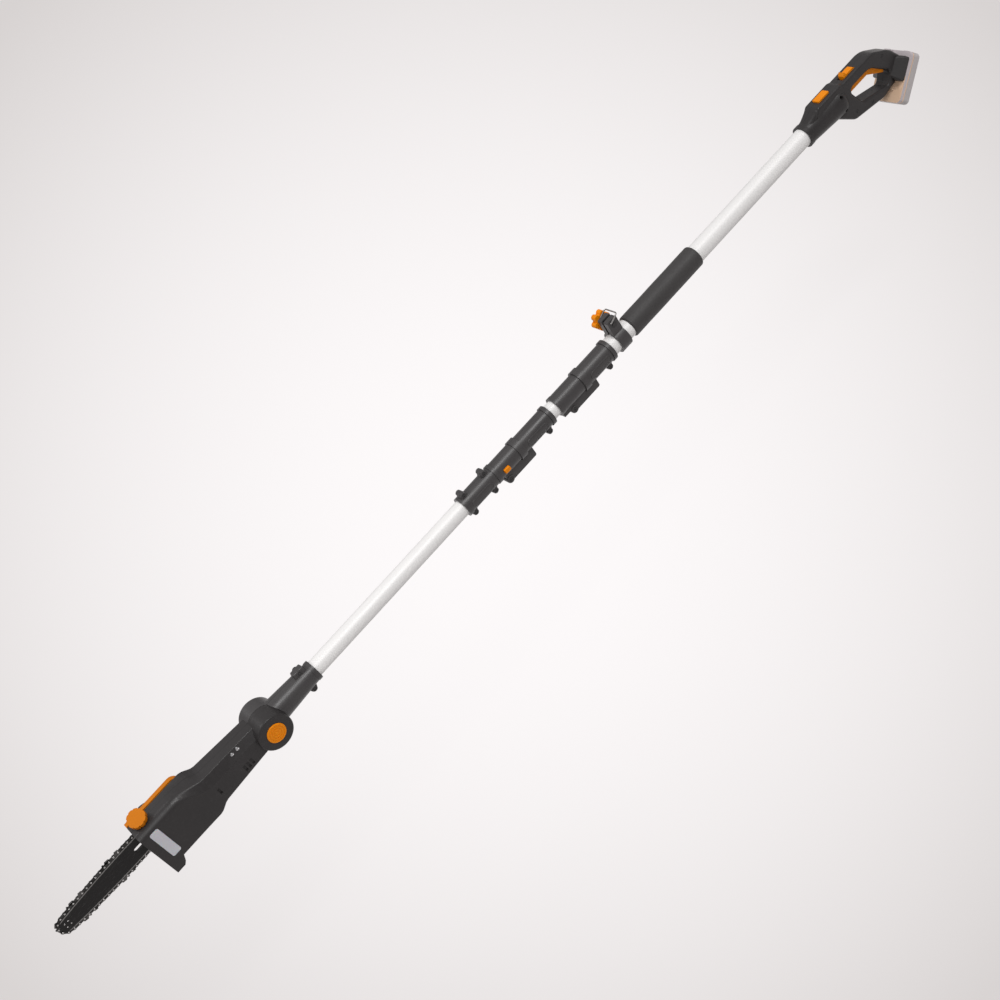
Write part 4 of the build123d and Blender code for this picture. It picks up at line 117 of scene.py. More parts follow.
def surface(name, group, values, bump, **constants):
    """Material on Object coordinates: a group gives what varies, constants go on the shader."""
    made = bpy.data.materials.new(name)
    made.use_nodes = True
    tree = made.node_tree
    shader = tree.nodes["Principled BSDF"]
    place = put(tree, "TexCoord").outputs["Object"]
    finish = put(tree, "Group", {"node_tree": group}, Place=place, **values).outputs
    tree.links.new(finish["Colour"], shader.inputs["Base Color"])
    tree.links.new(finish["Roughness"], shader.inputs["Roughness"])
    if "Metallic" in finish:
        tree.links.new(finish["Metallic"], shader.inputs["Metallic"])
    strength, distance = bump
    relief = put(tree, "Bump", Height=finish["Height"], Strength=strength, Distance=distance)
    tree.links.new(relief.outputs[0], shader.inputs["Normal"])
    for key, value in constants.items():
        shader.inputs[key.replace("_", " ")].default_value = value
    return made


def dress(material, *names):
    """Gives a finish to CAD nodes or pieces."""
    for name in names:
        mesh = (node[name] if isinstance(name, str) else name).data
        mesh.materials.clear()
        mesh.materials.append(material)


drawn, take, give = node_group(
    "drawn_metal",
    [
        ("Place", "Vector", None), ("Metal", "Color", (0.8, 0.8, 0.8, 1)),
        ("Dull", "Float", 0.3), ("Lines", "Float", 900.0),
    ],
    FINISH,
)
DRAWN_STRETCH = (0.02, 1.0, 1.0)
along = vectors(drawn, "MULTIPLY", take["Place"], DRAWN_STRETCH)
streak = noise(drawn, along, scale=take["Lines"], detail=3.0)
cloud = noise(drawn, take["Place"], scale=22.0, detail=3.0)
rub = maths(drawn, "MULTIPLY_ADD", streak, 0.7, maths(drawn, "MULTIPLY", cloud, 0.3))
uneven = maths(drawn, "SUBTRACT", rub, 0.5)
send(
    drawn, give,
    Colour=blend_colour(drawn, rub, scaled(drawn, take["Metal"], share=0.88), take["Metal"]),
    Roughness=maths(drawn, "MULTIPLY_ADD", uneven, 0.3, take["Dull"]),
    Height=streak,
)

satin_tube = surface(
    "satin_tube", drawn, {"Metal": (0.86, 0.845, 0.84, 1), "Dull": 0.5, "Lines": 1400.0},
    bump=(0.06, 0.0002), Metallic=0.1, Specular_IOR_Level=0.25,
)
dress(satin_tube, "outer_tube", "middle_tube", "front_tube")

# Coupling shells: screwed pairs of graphite mouldings on the tube ends, with the bushes and
# the electrical plug inside them. The plastic has a fine spark grain and a seam where the
# two halves meet on the pole's middle plane.
moulded, take, give = node_group(
    "moulded_plastic",
    [
        ("Place", "Vector", None), ("Plastic", "Color", (0.05, 0.05, 0.05, 1)),
        ("Dull", "Float", 0.5), ("Grain", "Float", 1600.0), ("Seam", "Float", 0.0),
        ("Dust", "Float", 0.1),
    ],
    FINISH,
)
SEAM_DARK, SEAM_CLEAR = 0.0001, 0.0004
DUST_TINT = (0.07, 0.07, 0.07)
spark = noise(moulded, take["Place"], scale=take["Grain"], detail=2.0)
drift = noise(moulded, take["Place"], scale=26.0, detail=4.0)
scuff = noise(moulded, take["Place"], scale=170.0, detail=5.0, Roughness=0.7)
split = put(moulded, "SeparateXYZ", Vector=take["Place"])
off_seam = maths(moulded, "ABSOLUTE", split.outputs["Y"])
seam = ramp(moulded, off_seam, SEAM_DARK, SEAM_CLEAR, first=1.0, last=0.0, kind="SMOOTHSTEP")
seam = maths(moulded, "MULTIPLY", seam, take["Seam"])
haze = maths(moulded, "MULTIPLY", ramp(moulded, scuff, start=0.52, end=0.8), take["Dust"])
tone = blend_colour(moulded, drift, scaled(moulded, take["Plastic"], share=0.78), take["Plastic"])
tone = blend_colour(moulded, haze, tone, vectors(moulded, "ADD", take["Plastic"], DUST_TINT))
matt = maths(moulded, "SUBTRACT", take["Dull"], 0.08)
matt = maths(moulded, "MULTIPLY_ADD", drift, 0.16, matt)
send(
    moulded, give,
    Colour=blend_colour(moulded, seam, tone, scaled(moulded, take["Plastic"], share=0.25)),
    Roughness=maths(moulded, "MULTIPLY_ADD", haze, 0.3, matt),
    Height=maths(moulded, "MULTIPLY_ADD", seam, -3.0, spark),
)

GRAPHITE = {"Plastic": (0.058, 0.054, 0.055, 1), "Dull": 0.36, "Dust": 0.12}
SPARK_RELIEF = (0.25, 0.00012)
graphite_shell = surface(
    "graphite_shell", moulded, {**GRAPHITE, "Seam": 1.0}, SPARK_RELIEF, Specular_IOR_Level=0.35
)
graphite = surface("graphite", moulded, GRAPHITE, SPARK_RELIEF, Specular_IOR_Level=0.35)
dress(
    graphite_shell, "plug_shell_left", "plug_shell_right", "socket_shell_left",
    "socket_shell_right", "lock_shell_left", "lock_shell_right",
)
dress(graphite, "plug_core", "contact_socket", "tail_bush", "guide_bush")

# Push buttons of the couplings: satin orange mouldings that stand out of the shells
# and are pressed in by a finger against a spring.
ORANGE = (0.90, 0.27, 0.003, 1)
SATIN_RELIEF = (0.15, 0.0001)
orange = surface(
    "orange", moulded, {"Plastic": ORANGE, "Dull": 0.4, "Dust": 0.02, "Grain": 1900.0},
    SATIN_RELIEF, Specular_IOR_Level=0.15,
)
dress(orange, "socket_button", "lock_button")

# Shell screws: blackened pan-head screws driven from the left side, sunk a little below the
# rims of their bosses. The crowns with their cross recesses are pressed into the heads.
plated, take, give = node_group(
    "plated_steel",
    [
        ("Place", "Vector", None), ("Steel", "Color", (0.5, 0.5, 0.5, 1)),
        ("Dull", "Float", 0.3), ("Oil", "Float", 0.0),
    ],
    FINISH,
)
speck = noise(plated, take["Place"], scale=1300.0, detail=3.0)
stain = noise(plated, take["Place"], scale=120.0, detail=4.0)
wet = maths(plated, "MULTIPLY", ramp(plated, stain, start=0.35, end=0.65), take["Oil"])
tint = blend_colour(plated, speck, scaled(plated, take["Steel"], share=0.7), take["Steel"])
uneven = maths(plated, "SUBTRACT", speck, 0.5)
send(
    plated, give,
    Colour=blend_colour(plated, wet, tint, scaled(plated, take["Steel"], share=0.35)),
    Roughness=maths(plated, "MULTIPLY_ADD", uneven, 0.25, take["Dull"]),
    Height=speck,
)


def metal(name, colour, dull, relief, metallic=1.0, oil=0.0):
    """Metal finish with fine specks: its colour, roughness, depth of specks and share of oil."""
    values = {"Steel": (*colour, 1), "Dull": dull, "Oil": oil}
    return surface(name, plated, values, bump=(relief, 0.0001), Metallic=metallic)


black_oxide = metal("black_oxide", (0.05, 0.049, 0.05), dull=0.4, relief=0.08, metallic=0.6)
dress(
    black_oxide, "plug_screws", "socket_screws", "lock_screws", "yoke_screws", "handle_screws"
)


def skin(name, points, wrap_rows=False, wrap_columns=False):
    """Mesh from one or more grids of points (grids, rows, columns, xyz).

    Doubles are merged and faces turned outwards.
    """
    points = np.asarray(points, float)
    points = points.reshape((-1,) + points.shape[-3:])
    count, rows, columns = points.shape[:3]
    row = np.arange(rows if wrap_rows else rows - 1)
    column = np.arange(columns if wrap_columns else columns - 1)
    r, c = np.meshgrid(row, column, indexing="ij")
    this_row, next_row = r * columns, (r + 1) % rows * columns
    next_c = (c + 1) % columns
    quad = np.stack([this_row + c, next_row + c, next_row + next_c, this_row + next_c], -1)
    first = np.arange(count) * rows * columns
    quads = (quad.reshape(1, -1, 4) + first[:, None, None]).reshape(-1, 4)
    mesh = bpy.data.meshes.new(name)
    mesh.from_pydata(points.reshape(-1, 3), [], quads)
    work = bmesh.new()
    work.from_mesh(mesh)
    bmesh.ops.remove_doubles(work, verts=work.verts, dist=2e-6)
    bmesh.ops.recalc_face_normals(work, faces=work.faces)
    work.to_mesh(mesh)
    work.free()
    mesh.polygons.foreach_set("use_smooth", np.ones(len(mesh.polygons), bool))
    made = bpy.data.objects.new(name, mesh)
    bpy.context.scene.collection.objects.link(made)
    return made


def full_turn(count):
    """Angles evenly round a circle, the last one short of the first."""
    return np.linspace(0, 2 * math.pi, count, endpoint=False)


def cross_crowns(name, spots, face_y, body, finish):
    """Screw crowns on the plane y = face_y, at spots (x, z) in millimetres.

    Each is a low dome, radius over height, that drops into a cross-shaped recess.
    """
    radius, rise, fall, lift, sink = 0.0029, 0.00055, 0.85, 0.00002, 0.0001
    arm_half, arm_reach, recess = 0.00055, 0.00185, 0.00004
    share = np.concatenate([np.linspace(0, 1, 16), [1.0, 0.0]])
    s, a = np.meshgrid(share, full_turn(64), indexing="ij")
    u, w = radius * s * np.cos(a), radius * s * np.sin(a)
    dome = rise * np.sqrt(np.clip(1 - fall * s**2, 0, 1)) + lift
    near, far = np.minimum(np.abs(u), np.abs(w)), np.maximum(np.abs(u), np.abs(w))
    height = np.where((near < arm_half) & (far < arm_reach), recess, dome)
    height[-2:] = -sink
    spot = np.asarray(spots, float)[:, :, None, None] / 1000
    y = np.broadcast_to(face_y - height, (len(spot),) + u.shape)
    made = skin(name, np.stack([spot[:, 0] + u, y, spot[:, 1] + w], -1), wrap_columns=True)
    dress(finish, made)
    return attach(made, body)


SHELL_FACE, HANDLE_FACE = -0.0069, -0.0154
LOCK_SPOTS = [(-243.0, -27.0), (-151.0, -22.4)]
SOCKET_SPOTS = [(-399.0, -27.0), (-299.0, -20.5)]
FRONT_SPOTS = [
    (-477.0, -20.5), (-477.0, 20.5), (-430.0, -20.5), (-430.0, 20.5), (-845.0, -20.5),
    (-845.0, 20.5),
]
HANDLE_SPOTS = [(464.0, 13.5), (464.0, -13.5), (526.0, -47.5), (488.0, -36.0), (579.0, 7.0)]
cross_crowns("lock_screw_crowns", LOCK_SPOTS, SHELL_FACE, "handle_section", black_oxide)
cross_crowns("socket_screw_crowns", SOCKET_SPOTS, SHELL_FACE, "middle_section", black_oxide)
cross_crowns("front_screw_crowns", FRONT_SPOTS, SHELL_FACE, "front_section", black_oxide)
cross_crowns("handle_screw_crowns", HANDLE_SPOTS, HANDLE_FACE, "handle_section", black_oxide)


# Stiffening loops: low half-round beads that close the ends of the couplings' paired ribs,
# moulded in one with the shells on both sides.
def rib_loop(name, body, middle, barrel):
    """Half-round bead along a stadium, two straights and two half circles.

    It is wrapped on a barrel about X, on both sides.
    """
    straight, half_width, bead, sunk = 0.034, 0.006, 0.0012, 0.25
    turn = np.linspace(0, math.pi, 17)
    out_u = np.concatenate([np.sin(turn), -np.sin(turn)])[:, None]
    out_w = np.concatenate([np.cos(turn), -np.cos(turn)])[:, None]
    ends = np.repeat([straight / 2, -straight / 2], turn.size)[:, None]
    arch = np.linspace(0, math.pi, 9)[None]
    across, rise = half_width + bead * np.cos(arch), bead * (np.sin(arch) - sunk)
    x = middle + ends + out_u * across
    arc = out_w * across / barrel
    reach = barrel + np.broadcast_to(rise, arc.shape)
    sides = [np.stack([x, way * reach * np.cos(arc), reach * np.sin(arc)], -1) for way in (-1, 1)]
    made = skin(name, np.stack(sides), wrap_rows=True, wrap_columns=True)
    dress(graphite, made)
    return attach(made, body)


rib_loop("lock_rib_loop", "handle_section", middle=-0.17025, barrel=0.0183)
rib_loop("socket_rib_loop", "middle_section", middle=-0.32175, barrel=0.0164)
rib_loop("plug_rib_loop", "front_section", middle=-0.4535, barrel=0.0168)


# Boss webs and collars: fairings moulded in one with the shells that carry the screw bosses
# into the barrels, and rings round the two sunk bosses, so that a dropped pole does not
# break the bosses off.
def square_up(wave, power):
    """A sine or cosine raised to a power with its sign kept, which squares up an oval."""
    return np.sign(wave) * np.abs(wave) ** power


def boss_webs(name, spots, body, half_length, flat, half_width, root, crest):
    """Fairings along X at spots (x, side): height falls by a cosine from crest to root.

    Each section is a square-shouldered oval, and the ends are closed.
    """
    steps, power, lip, buried = 33, 0.5, 0.0001, 0.003
    u = np.linspace(-half_length, half_length, steps)
    u = np.concatenate([u[:1], u, u[-1:]])
    shut = np.concatenate([[0.0], np.ones(steps), [0.0]])[:, None]
    ease = 0.5 + 0.5 * np.cos(math.pi * np.clip((np.abs(u) - flat) / (half_length - flat), 0, 1))
    turn = full_turn(48)[None]
    across, raised = square_up(np.cos(turn), power), square_up(np.sin(turn), power)
    above = (crest - root) * ease[:, None] + lip
    tall = np.where(raised > 0, above, buried) * raised * shut
    wide = half_width * across * shut
    long = np.broadcast_to(u[:, None], tall.shape)
    grids = [np.stack([x + long, wide, side * (root + tall)], -1) for x, side in spots]
    made = skin(name, np.stack(grids), wrap_columns=True)
    dress(graphite, made)
    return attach(made, body)


PLUG_BOSSES = [(-0.477, -1), (-0.477, 1), (-0.430, -1), (-0.430, 1)]
SMALL_WEB = {"half_length": 0.0088, "flat": 0.0030, "half_width": 0.0060}
YOKE_WEB = {"half_length": 0.0090, "flat": 0.0040, "half_width": 0.0070}
CLIP_WEB = {"half_length": 0.0125, "flat": 0.0085, "half_width": 0.0072}
boss_webs("plug_boss_webs", PLUG_BOSSES, "front_section", root=0.0148, crest=0.0252, **SMALL_WEB)
boss_webs("yoke_boss_webs", [(-0.845, -1)], "front_section", root=0.0150, crest=0.0254, **YOKE_WEB)
boss_webs("yoke_clip_webs", [(-0.845, 1)], "front_section", root=0.0150, crest=0.0256, **CLIP_WEB)
boss_webs(
    "socket_boss_webs", [(-0.299, -1)], "middle_section", root=0.0148, crest=0.0252, **SMALL_WEB
)
boss_webs(
    "lock_boss_webs", [(-0.151, -1)], "handle_section", root=0.0168, crest=0.0271, **SMALL_WEB
)


def boss_collar(name, body, x, z):
    """Ring about an axis along Y: a square-shouldered oval section turned once round."""
    inner, outer, half, power = 0.0046, 0.0072, 0.0083, 0.35
    lap, turn = full_turn(32)[:, None], full_turn(48)[None]
    radius = (inner + outer) / 2 + (outer - inner) / 2 * square_up(np.cos(lap), power)
    y = np.broadcast_to(half * square_up(np.sin(lap), power), (lap.size, turn.size))
    ring = np.stack([x + radius * np.cos(turn), y, z + radius * np.sin(turn)], -1)
    made = skin(name, ring, wrap_rows=True, wrap_columns=True)
    dress(graphite, made)
    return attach(made, body)


boss_collar("lock_boss_collar", "handle_section", x=-0.243, z=-0.027)
boss_collar("socket_boss_collar", "middle_section", x=-0.399, z=-0.027)

# Hand grip: a sleeve of closed-cell foam pushed over the outer tube and glued.
# It is matt, with fine open cells on its skin, soft rounded ends and a slightly uneven surface.
foamed, take, give = node_group(
    "foam_cells",
    [
        ("Place", "Vector", None), ("Foam", "Color", (0.04, 0.04, 0.04, 1)),
        ("Cells", "Float", 900.0),
    ],
    FINISH,
)
cell = put(foamed, "TexVoronoi", Vector=take["Place"], Scale=take["Cells"])
pit = ramp(foamed, cell.outputs["Distance"], start=0.0, end=0.6)
# The hollows of the cells are painted darker on the same mask that sinks them: painted shade.
shaded_pits_tone = blend_colour(foamed, pit, scaled(foamed, take["Foam"], share=0.55), take["Foam"])
lit = maths(foamed, "MULTIPLY", noise(foamed, take["Place"], scale=45.0, detail=5.0), 0.5)
send(
    foamed, give,
    Colour=blend_colour(foamed, lit, shaded_pits_tone, scaled(foamed, take["Foam"], share=1.25)),
    Roughness=maths(foamed, "MULTIPLY_ADD", pit, -0.1, 0.62),
    Height=pit,
)


def foam_sleeve(name, half_length, outer, inner, end_round):
    """Turned sleeve: a closed profile of bore, round ends and outside.

    The outside swells by a low wave, one sine along the sleeve times one round it.
    """
    wave = 0.00012
    turn = np.linspace(0, math.pi / 2, 10)
    straight, neck = half_length - end_round, outer - end_round
    run = np.linspace(straight, -straight, 60)[1:-1]
    x = np.concatenate(
        [
            straight + end_round * np.sin(turn[::-1]), run, -straight - end_round * np.sin(turn),
            [-half_length, half_length],
        ]
    )
    r = np.concatenate(
        [
            neck + end_round * np.cos(turn[::-1]), np.full(len(run), outer),
            neck + end_round * np.cos(turn), [inner, inner],
        ]
    )
    xs, a = np.meshgrid(x, full_turn(96), indexing="ij")
    rs = np.broadcast_to(r[:, None], xs.shape)
    swell = wave * np.sin(61 * xs + 1.3 * np.cos(a)) * np.sin(3 * a + 40 * xs)
    rs = np.where(rs > outer - 1e-6, rs + swell, rs)
    sleeve = np.stack([xs, rs * np.cos(a), rs * np.sin(a)], -1)
    return skin(name, sleeve, wrap_rows=True, wrap_columns=True)


foam = foam_sleeve("foam_sleeve", half_length=0.085, outer=0.0199, inner=0.0165, end_round=0.003)
black_foam = surface(
    "black_foam", foamed, {"Foam": (0.046, 0.043, 0.043, 1)}, bump=(0.5, 0.0003),
    Specular_IOR_Level=0.35,
)
dress(black_foam, foam)
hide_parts("foam_grip")
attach(foam, "handle_section")

# Strap collar: a split moulded clamp on the outer tube, closed by a star knob on a bolt,
# with a bent wire ring in its ear that takes the hook of a shoulder strap.
dress(graphite, "strap_collar")
dress(black_oxide, "collar_nut")
dress(metal("nickel_wire", (0.45, 0.44, 0.43), dull=0.22, relief=0.04), "strap_ring")
two_part, take, give = node_group(
    "knob_and_stud",
    [
        ("Place", "Vector", None), ("Knob", "Color", ORANGE),
        ("Stud", "Color", (0.5, 0.5, 0.51, 1)), ("Foot", "Float", 0.0),
    ],
    FINISH + [("Metallic", "Float")],
)
across = put(two_part, "SeparateXYZ", Vector=take["Place"])
on_stud = maths(two_part, "LESS_THAN", across.outputs["Y"], take["Foot"])
soil = noise(two_part, take["Place"], scale=60.0, detail=4.0)
hue = blend_colour(two_part, soil, scaled(two_part, take["Knob"], share=0.8), take["Knob"])
send(
    two_part, give,
    Colour=blend_colour(two_part, on_stud, hue, take["Stud"]),
    Roughness=maths(two_part, "MULTIPLY_ADD", soil, 0.16, 0.3),
    Height=noise(two_part, take["Place"], scale=1900.0, detail=2.0),
    Metallic=on_stud,
)
knob_and_stud = surface(
    "knob_and_stud", two_part, {"Foot": 0.0122, "Stud": (0.07, 0.068, 0.068, 1)},
    bump=(0.12, 0.0001), Specular_IOR_Level=0.15,
)
dress(knob_and_stud, "collar_knob")

# Yoke: two screwed mouldings that grip the front tube and carry the tilting head
# on a cross bolt, with a round boss on the far side.
zinc = metal("zinc", (0.52, 0.52, 0.53), dull=0.3, relief=0.08)
dress(graphite_shell, "yoke_left", "yoke_right")
dress(zinc, "pivot_bolt")

# Saw head: two moulded halves round the motor, the gears and the oil tank, closed by two bright
# screws in the neck and tilted on the yoke after its orange side button is pressed.
CHARCOAL = (0.035, 0.032, 0.0325, 1)
charcoal_shell = surface(
    "charcoal_shell", moulded, {"Plastic": CHARCOAL, "Dull": 0.34, "Seam": 1.0, "Dust": 0.13},
    SPARK_RELIEF, Specular_IOR_Level=0.25,
)
NECK_SPOTS, NECK_FACE = [(-997.0, 21.0), (-986.0, 21.0)], -0.0204
dress(charcoal_shell, "head_left", "head_right")
dress(zinc, "head_screws", "bar_stud")
cross_crowns("head_screw_crowns", NECK_SPOTS, NECK_FACE, "saw_head", zinc)
dress(orange, "tilt_button")

# Oil tank and cap: a milky blown tank that shows its level in the window of the left half,
# with a fluted orange cap on the filler neck.
FINE_RELIEF = (0.1, 0.0001)
milky = surface(
    "milky_tank", moulded,
    {"Plastic": (0.62, 0.61, 0.66, 1), "Dull": 0.3, "Dust": 0.05, "Grain": 500.0}, FINE_RELIEF,
    Subsurface_Weight=0.25, Subsurface_Scale=0.004,
)
dress(milky, "oil_tank")
# The cap and the chain cover take a darker copy of the orange, as painted shade.
shaded_orange = surface(
    "shaded_orange", moulded,
    {"Plastic": (0.60, 0.175, 0.002, 1), "Dull": 0.42, "Dust": 0.02, "Grain": 1900.0},
    SATIN_RELIEF, Specular_IOR_Level=0.15,
)
dress(shaded_orange, "oil_cap")

# Guide bar: three laminated steel plies with a black coating, worn to bare steel along the
# rails where the chain runs. Four small rivets hold the nose wheel.
coated, take, give = node_group(
    "coated_bar",
    [
        ("Place", "Vector", None), ("Coat", "Color", (0.03, 0.03, 0.03, 1)),
        ("Steel", "Color", (0.4, 0.4, 0.4, 1)),
    ],
    FINISH + [("Metallic", "Float")],
)
BOW_X, BOW_Z, BOW_R = -1.197103, 1.438893, 1.4574
RAIL_WEAR, RAGGED = 0.0012, 0.002
SCRATCH_STRETCH = (0.06, 1, 1)
flat = put(coated, "SeparateXYZ", Vector=take["Place"]).outputs
flat = put(coated, "CombineXYZ", X=flat["X"], Y=0.0, Z=maths(coated, "ABSOLUTE", flat["Z"]))
reach = vectors(coated, "DISTANCE", flat.outputs[0], (BOW_X, 0, -BOW_Z), "Value")
rag = noise(coated, take["Place"], scale=420.0, detail=4.0)
inset = maths(coated, "SUBTRACT", BOW_R, reach)
inset = maths(coated, "MULTIPLY_ADD", rag, -RAGGED, inset)
bare = ramp(coated, inset, 0.0, RAIL_WEAR, first=1.0, last=0.0, kind="SMOOTHSTEP")
scratch = vectors(coated, "MULTIPLY", take["Place"], SCRATCH_STRETCH)
scratch = noise(coated, scratch, scale=1500.0, detail=3.0)
scratch = ramp(coated, scratch, start=0.62, end=0.75, last=0.35)
shown = maths(coated, "MAXIMUM", bare, scratch)
send(
    coated, give,
    Colour=blend_colour(coated, shown, take["Coat"], take["Steel"]),
    Roughness=maths(coated, "MULTIPLY_ADD", rag, 0.2, 0.26),
    Height=maths(coated, "MULTIPLY", shown, -1.0),
    Metallic=maths(coated, "MULTIPLY", shown, 0.9),
)
coated_bar = surface(
    "coated_bar", coated, {"Coat": (0.013, 0.012, 0.012, 1), "Steel": (0.24, 0.235, 0.23, 1)},
    FINE_RELIEF, Specular_IOR_Level=0.2,
)
dress(coated_bar, "guide_bar")

BAR_PLANE = 0.022


def buttons(name, spots, body, half, radius, rise):
    """Round rivet heads on both faces, half a thickness off the bar's plane.

    Each is a quarter-ellipse profile turned about Y, closed underneath.
    """
    buried = 0.4
    bow = np.linspace(0, 1, 6)
    share = np.concatenate([bow, [1.0, 0.0]])
    height = np.concatenate([np.sqrt(1 - bow**2), [-buried, -buried]]) * rise
    s, a = np.meshgrid(share, full_turn(14), indexing="ij")
    u, w = radius * s * np.cos(a), radius * s * np.sin(a)
    spot = np.asarray(spots, float)[:, :, None, None]
    grids = []
    for way in (-1, 1):
        y = (BAR_PLANE + way * (half + height))[:, None]
        y = np.broadcast_to(y, (len(spot),) + s.shape)
        grids.append(np.stack([spot[:, 0] + u, y, spot[:, 1] + w], -1))
    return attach(skin(name, np.concatenate(grids), wrap_columns=True), body)


bright = metal("bright_rivet", (0.6, 0.59, 0.58), dull=0.28, relief=0.05)
NOSE_X, NOSE_RING = -1.3265, 0.0052
fan = math.radians(45) + full_turn(4)
nose_spots = np.stack([NOSE_X + NOSE_RING * np.cos(fan), NOSE_RING * np.sin(fan)], -1)
nose_rivets = buttons(
    "nose_rivets", nose_spots, "saw_head", half=0.0021, radius=0.0011, rise=0.0003
)
dress(bright, nose_rivets)

# Saw chain: drive links in the bar's groove between pairs of tie straps, with a left or right
# cutter every second pair. Each joint is a rivet through the three plies.
oiled = metal("oiled_steel", (0.075, 0.073, 0.071), dull=0.34, relief=0.1, metallic=0.9, oil=0.8)
ground = metal("ground_cutter", (0.15, 0.147, 0.144), dull=0.28, relief=0.08, oil=0.7)
dress(oiled, "chain_drive_links", "chain_straps")
dress(ground, "chain_cutters")


def rivet_line(pairs):
    """Rivet centres (x, z) at an even pitch round four tangent arcs.

    The arcs are the nose, the lower edge, the sprocket and the upper edge.
    """
    nose_turn, sprocket_turn = 1.6604832251, 1.503068111
    nose_r, edge_r, sprocket_r, sprocket_x = 0.0153, 1.46, 0.0178, -1.0995
    arcs = np.array(
        [
            (NOSE_X, 0.0, nose_r, nose_turn, 2 * math.pi - 2 * nose_turn),
            (BOW_X, BOW_Z, edge_r, -nose_turn, nose_turn - sprocket_turn),
            (sprocket_x, 0.0, sprocket_r, -sprocket_turn, 2 * sprocket_turn),
            (BOW_X, -BOW_Z, edge_r, sprocket_turn, nose_turn - sprocket_turn),
        ]
    )
    ends = np.concatenate([[0.0], np.cumsum(arcs[:, 2] * arcs[:, 4])])
    along = np.arange(2 * pairs) * ends[-1] / (2 * pairs)
    which = np.clip(np.searchsorted(ends, along, side="right") - 1, 0, 3)
    x, z, radius, start, _ = arcs[which].T
    angle = start + (along - ends[which]) / radius
    return np.stack([x + radius * np.cos(angle), z + radius * np.sin(angle)], -1)


rivets = buttons(
    "chain_rivets", rivet_line(pairs=30), "saw_head", half=0.00175, radius=0.00145, rise=0.00035
)
dress(bright, rivets)

# Chain cover: one orange moulded shell over the sprocket on the right side of the head,
# held by a fluted knob on the bar stud.
# Its darker orange is painted shade.
dress(shaded_orange, "chain_cover")
charcoal = surface(
    "charcoal", moulded, {"Plastic": CHARCOAL, "Dull": 0.38, "Dust": 0.08}, SPARK_RELIEF,
    Specular_IOR_Level=0.2,
)
dress(charcoal, "cover_knob")

# Drive: the motor with its pinion, the face gear on its turned steel shaft and the sprocket.
# The shaft runs in a bronze bush that is pressed into the head.
turned = metal("turned_steel", (0.5, 0.5, 0.51), dull=0.3, relief=0.06)
dress(turned, "motor", "motor_shaft", "sprocket_shaft", "sprocket")
dress(metal("bronze", (0.5, 0.32, 0.14), dull=0.4, relief=0.1), "shaft_bush")


# Rear handle: two screwed mouldings that clamp the outer tube, with a D grip and a flared dock
# for the battery. The trigger, the lock-off slider and the top switch are orange.
def nose_cowl(name, body, start, end, low, high, root):
    """Ramp on the handle's nose: the crown rises from low to high with a slight late swell.

    Sections square up from an oval to a box and widen a little on the way.
    """
    steps, buried = 41, 0.004
    full_at, swell_at, swell = 0.84, 0.7, 0.35
    oval, box, boxed_at = 1.0, 0.42, 0.7
    slim, wide, wide_at = 0.0140, 0.0158, 0.8
    run = np.concatenate([[0.0], np.linspace(0, 1, steps), [1.0]])[:, None]
    shut = np.concatenate([[0.0], np.ones(steps), [0.0]])[:, None]
    climb = np.clip(run / full_at, 0, 1)
    late = np.clip(climb - swell_at, 0, 1)
    climb = climb + swell * late * (1 - late / (1 - swell_at))
    power = oval + (box - oval) * np.clip(run / boxed_at, 0, 1)
    turn = full_turn(72)[None]
    side, lift = square_up(np.cos(turn), power), square_up(np.sin(turn), power)
    width = (slim + (wide - slim) * np.clip(run / wide_at, 0, 1)) * shut
    height = np.where(lift > 0, low + (high - low) * climb - root, buried) * shut
    x = np.broadcast_to(start + (end - start) * run, side.shape)
    cowl = np.stack([x, width * side, root + height * lift], -1)
    made = skin(name, cowl, wrap_columns=True)
    dress(charcoal_shell, made)
    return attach(made, body)


dress(charcoal_shell, "handle_left", "handle_right")
nose_cowl(
    "nose_cowl", "handle_section", start=0.3855, end=0.4225, low=0.0194, high=0.0298, root=0.0080
)
dress(orange, "trigger", "lock_off", "top_button")
switch_black = surface(
    "switch_black", moulded, {"Plastic": (0.02, 0.02, 0.021, 1), "Dull": 0.4}, FINE_RELIEF
)
dress(switch_black, "trigger_switch", "terminal_block")

# Battery: a pale grey case with a peach face plate towards the dock and a peach joint line,
# pushed along the dock's rails until its latch catches.
faced, take, give = node_group(
    "faced_plastic",
    [
        ("Place", "Vector", None), ("Face", "Color", (0.7, 0.5, 0.35, 1)),
        ("Case", "Color", (0.45, 0.42, 0.42, 1)), ("Plate", "Float", 0.001),
        ("Top", "Float", 0.1), ("Dull", "Float", 0.45),
    ],
    FINISH,
)
DOCK_SPOT = (0.6065, 0.0, -0.042)
DOCK_OUT, DOCK_UP = (0.6613, 0.0, -0.7501), (0.7501, 0.0, 0.6613)
EDGE_BLUR = 0.0001
from_dock = vectors(faced, "SUBTRACT", take["Place"], DOCK_SPOT)
depth = vectors(faced, "DOT_PRODUCT", from_dock, DOCK_OUT, "Value")
climb = vectors(faced, "DOT_PRODUCT", from_dock, DOCK_UP, "Value")
past_plate = maths(faced, "SUBTRACT", depth, take["Plate"])
past_top = maths(faced, "SUBTRACT", climb, take["Top"])
past = maths(faced, "MAXIMUM", past_plate, past_top)
past = ramp(faced, past, -EDGE_BLUR, EDGE_BLUR, kind="SMOOTHSTEP")
tone = blend_colour(faced, past, take["Face"], take["Case"])
bloom = noise(faced, take["Place"], scale=40.0, detail=3.0)
send(
    faced, give,
    Colour=blend_colour(faced, bloom, scaled(faced, tone, share=0.93), tone),
    Roughness=maths(faced, "MULTIPLY_ADD", bloom, 0.12, take["Dull"]),
    Height=noise(faced, take["Place"], scale=1500.0, detail=2.0),
)

PEACH, LILAC, PALE_GREY = (0.80, 0.56, 0.39, 1), (0.56, 0.50, 0.52, 1), (0.50, 0.465, 0.465, 1)


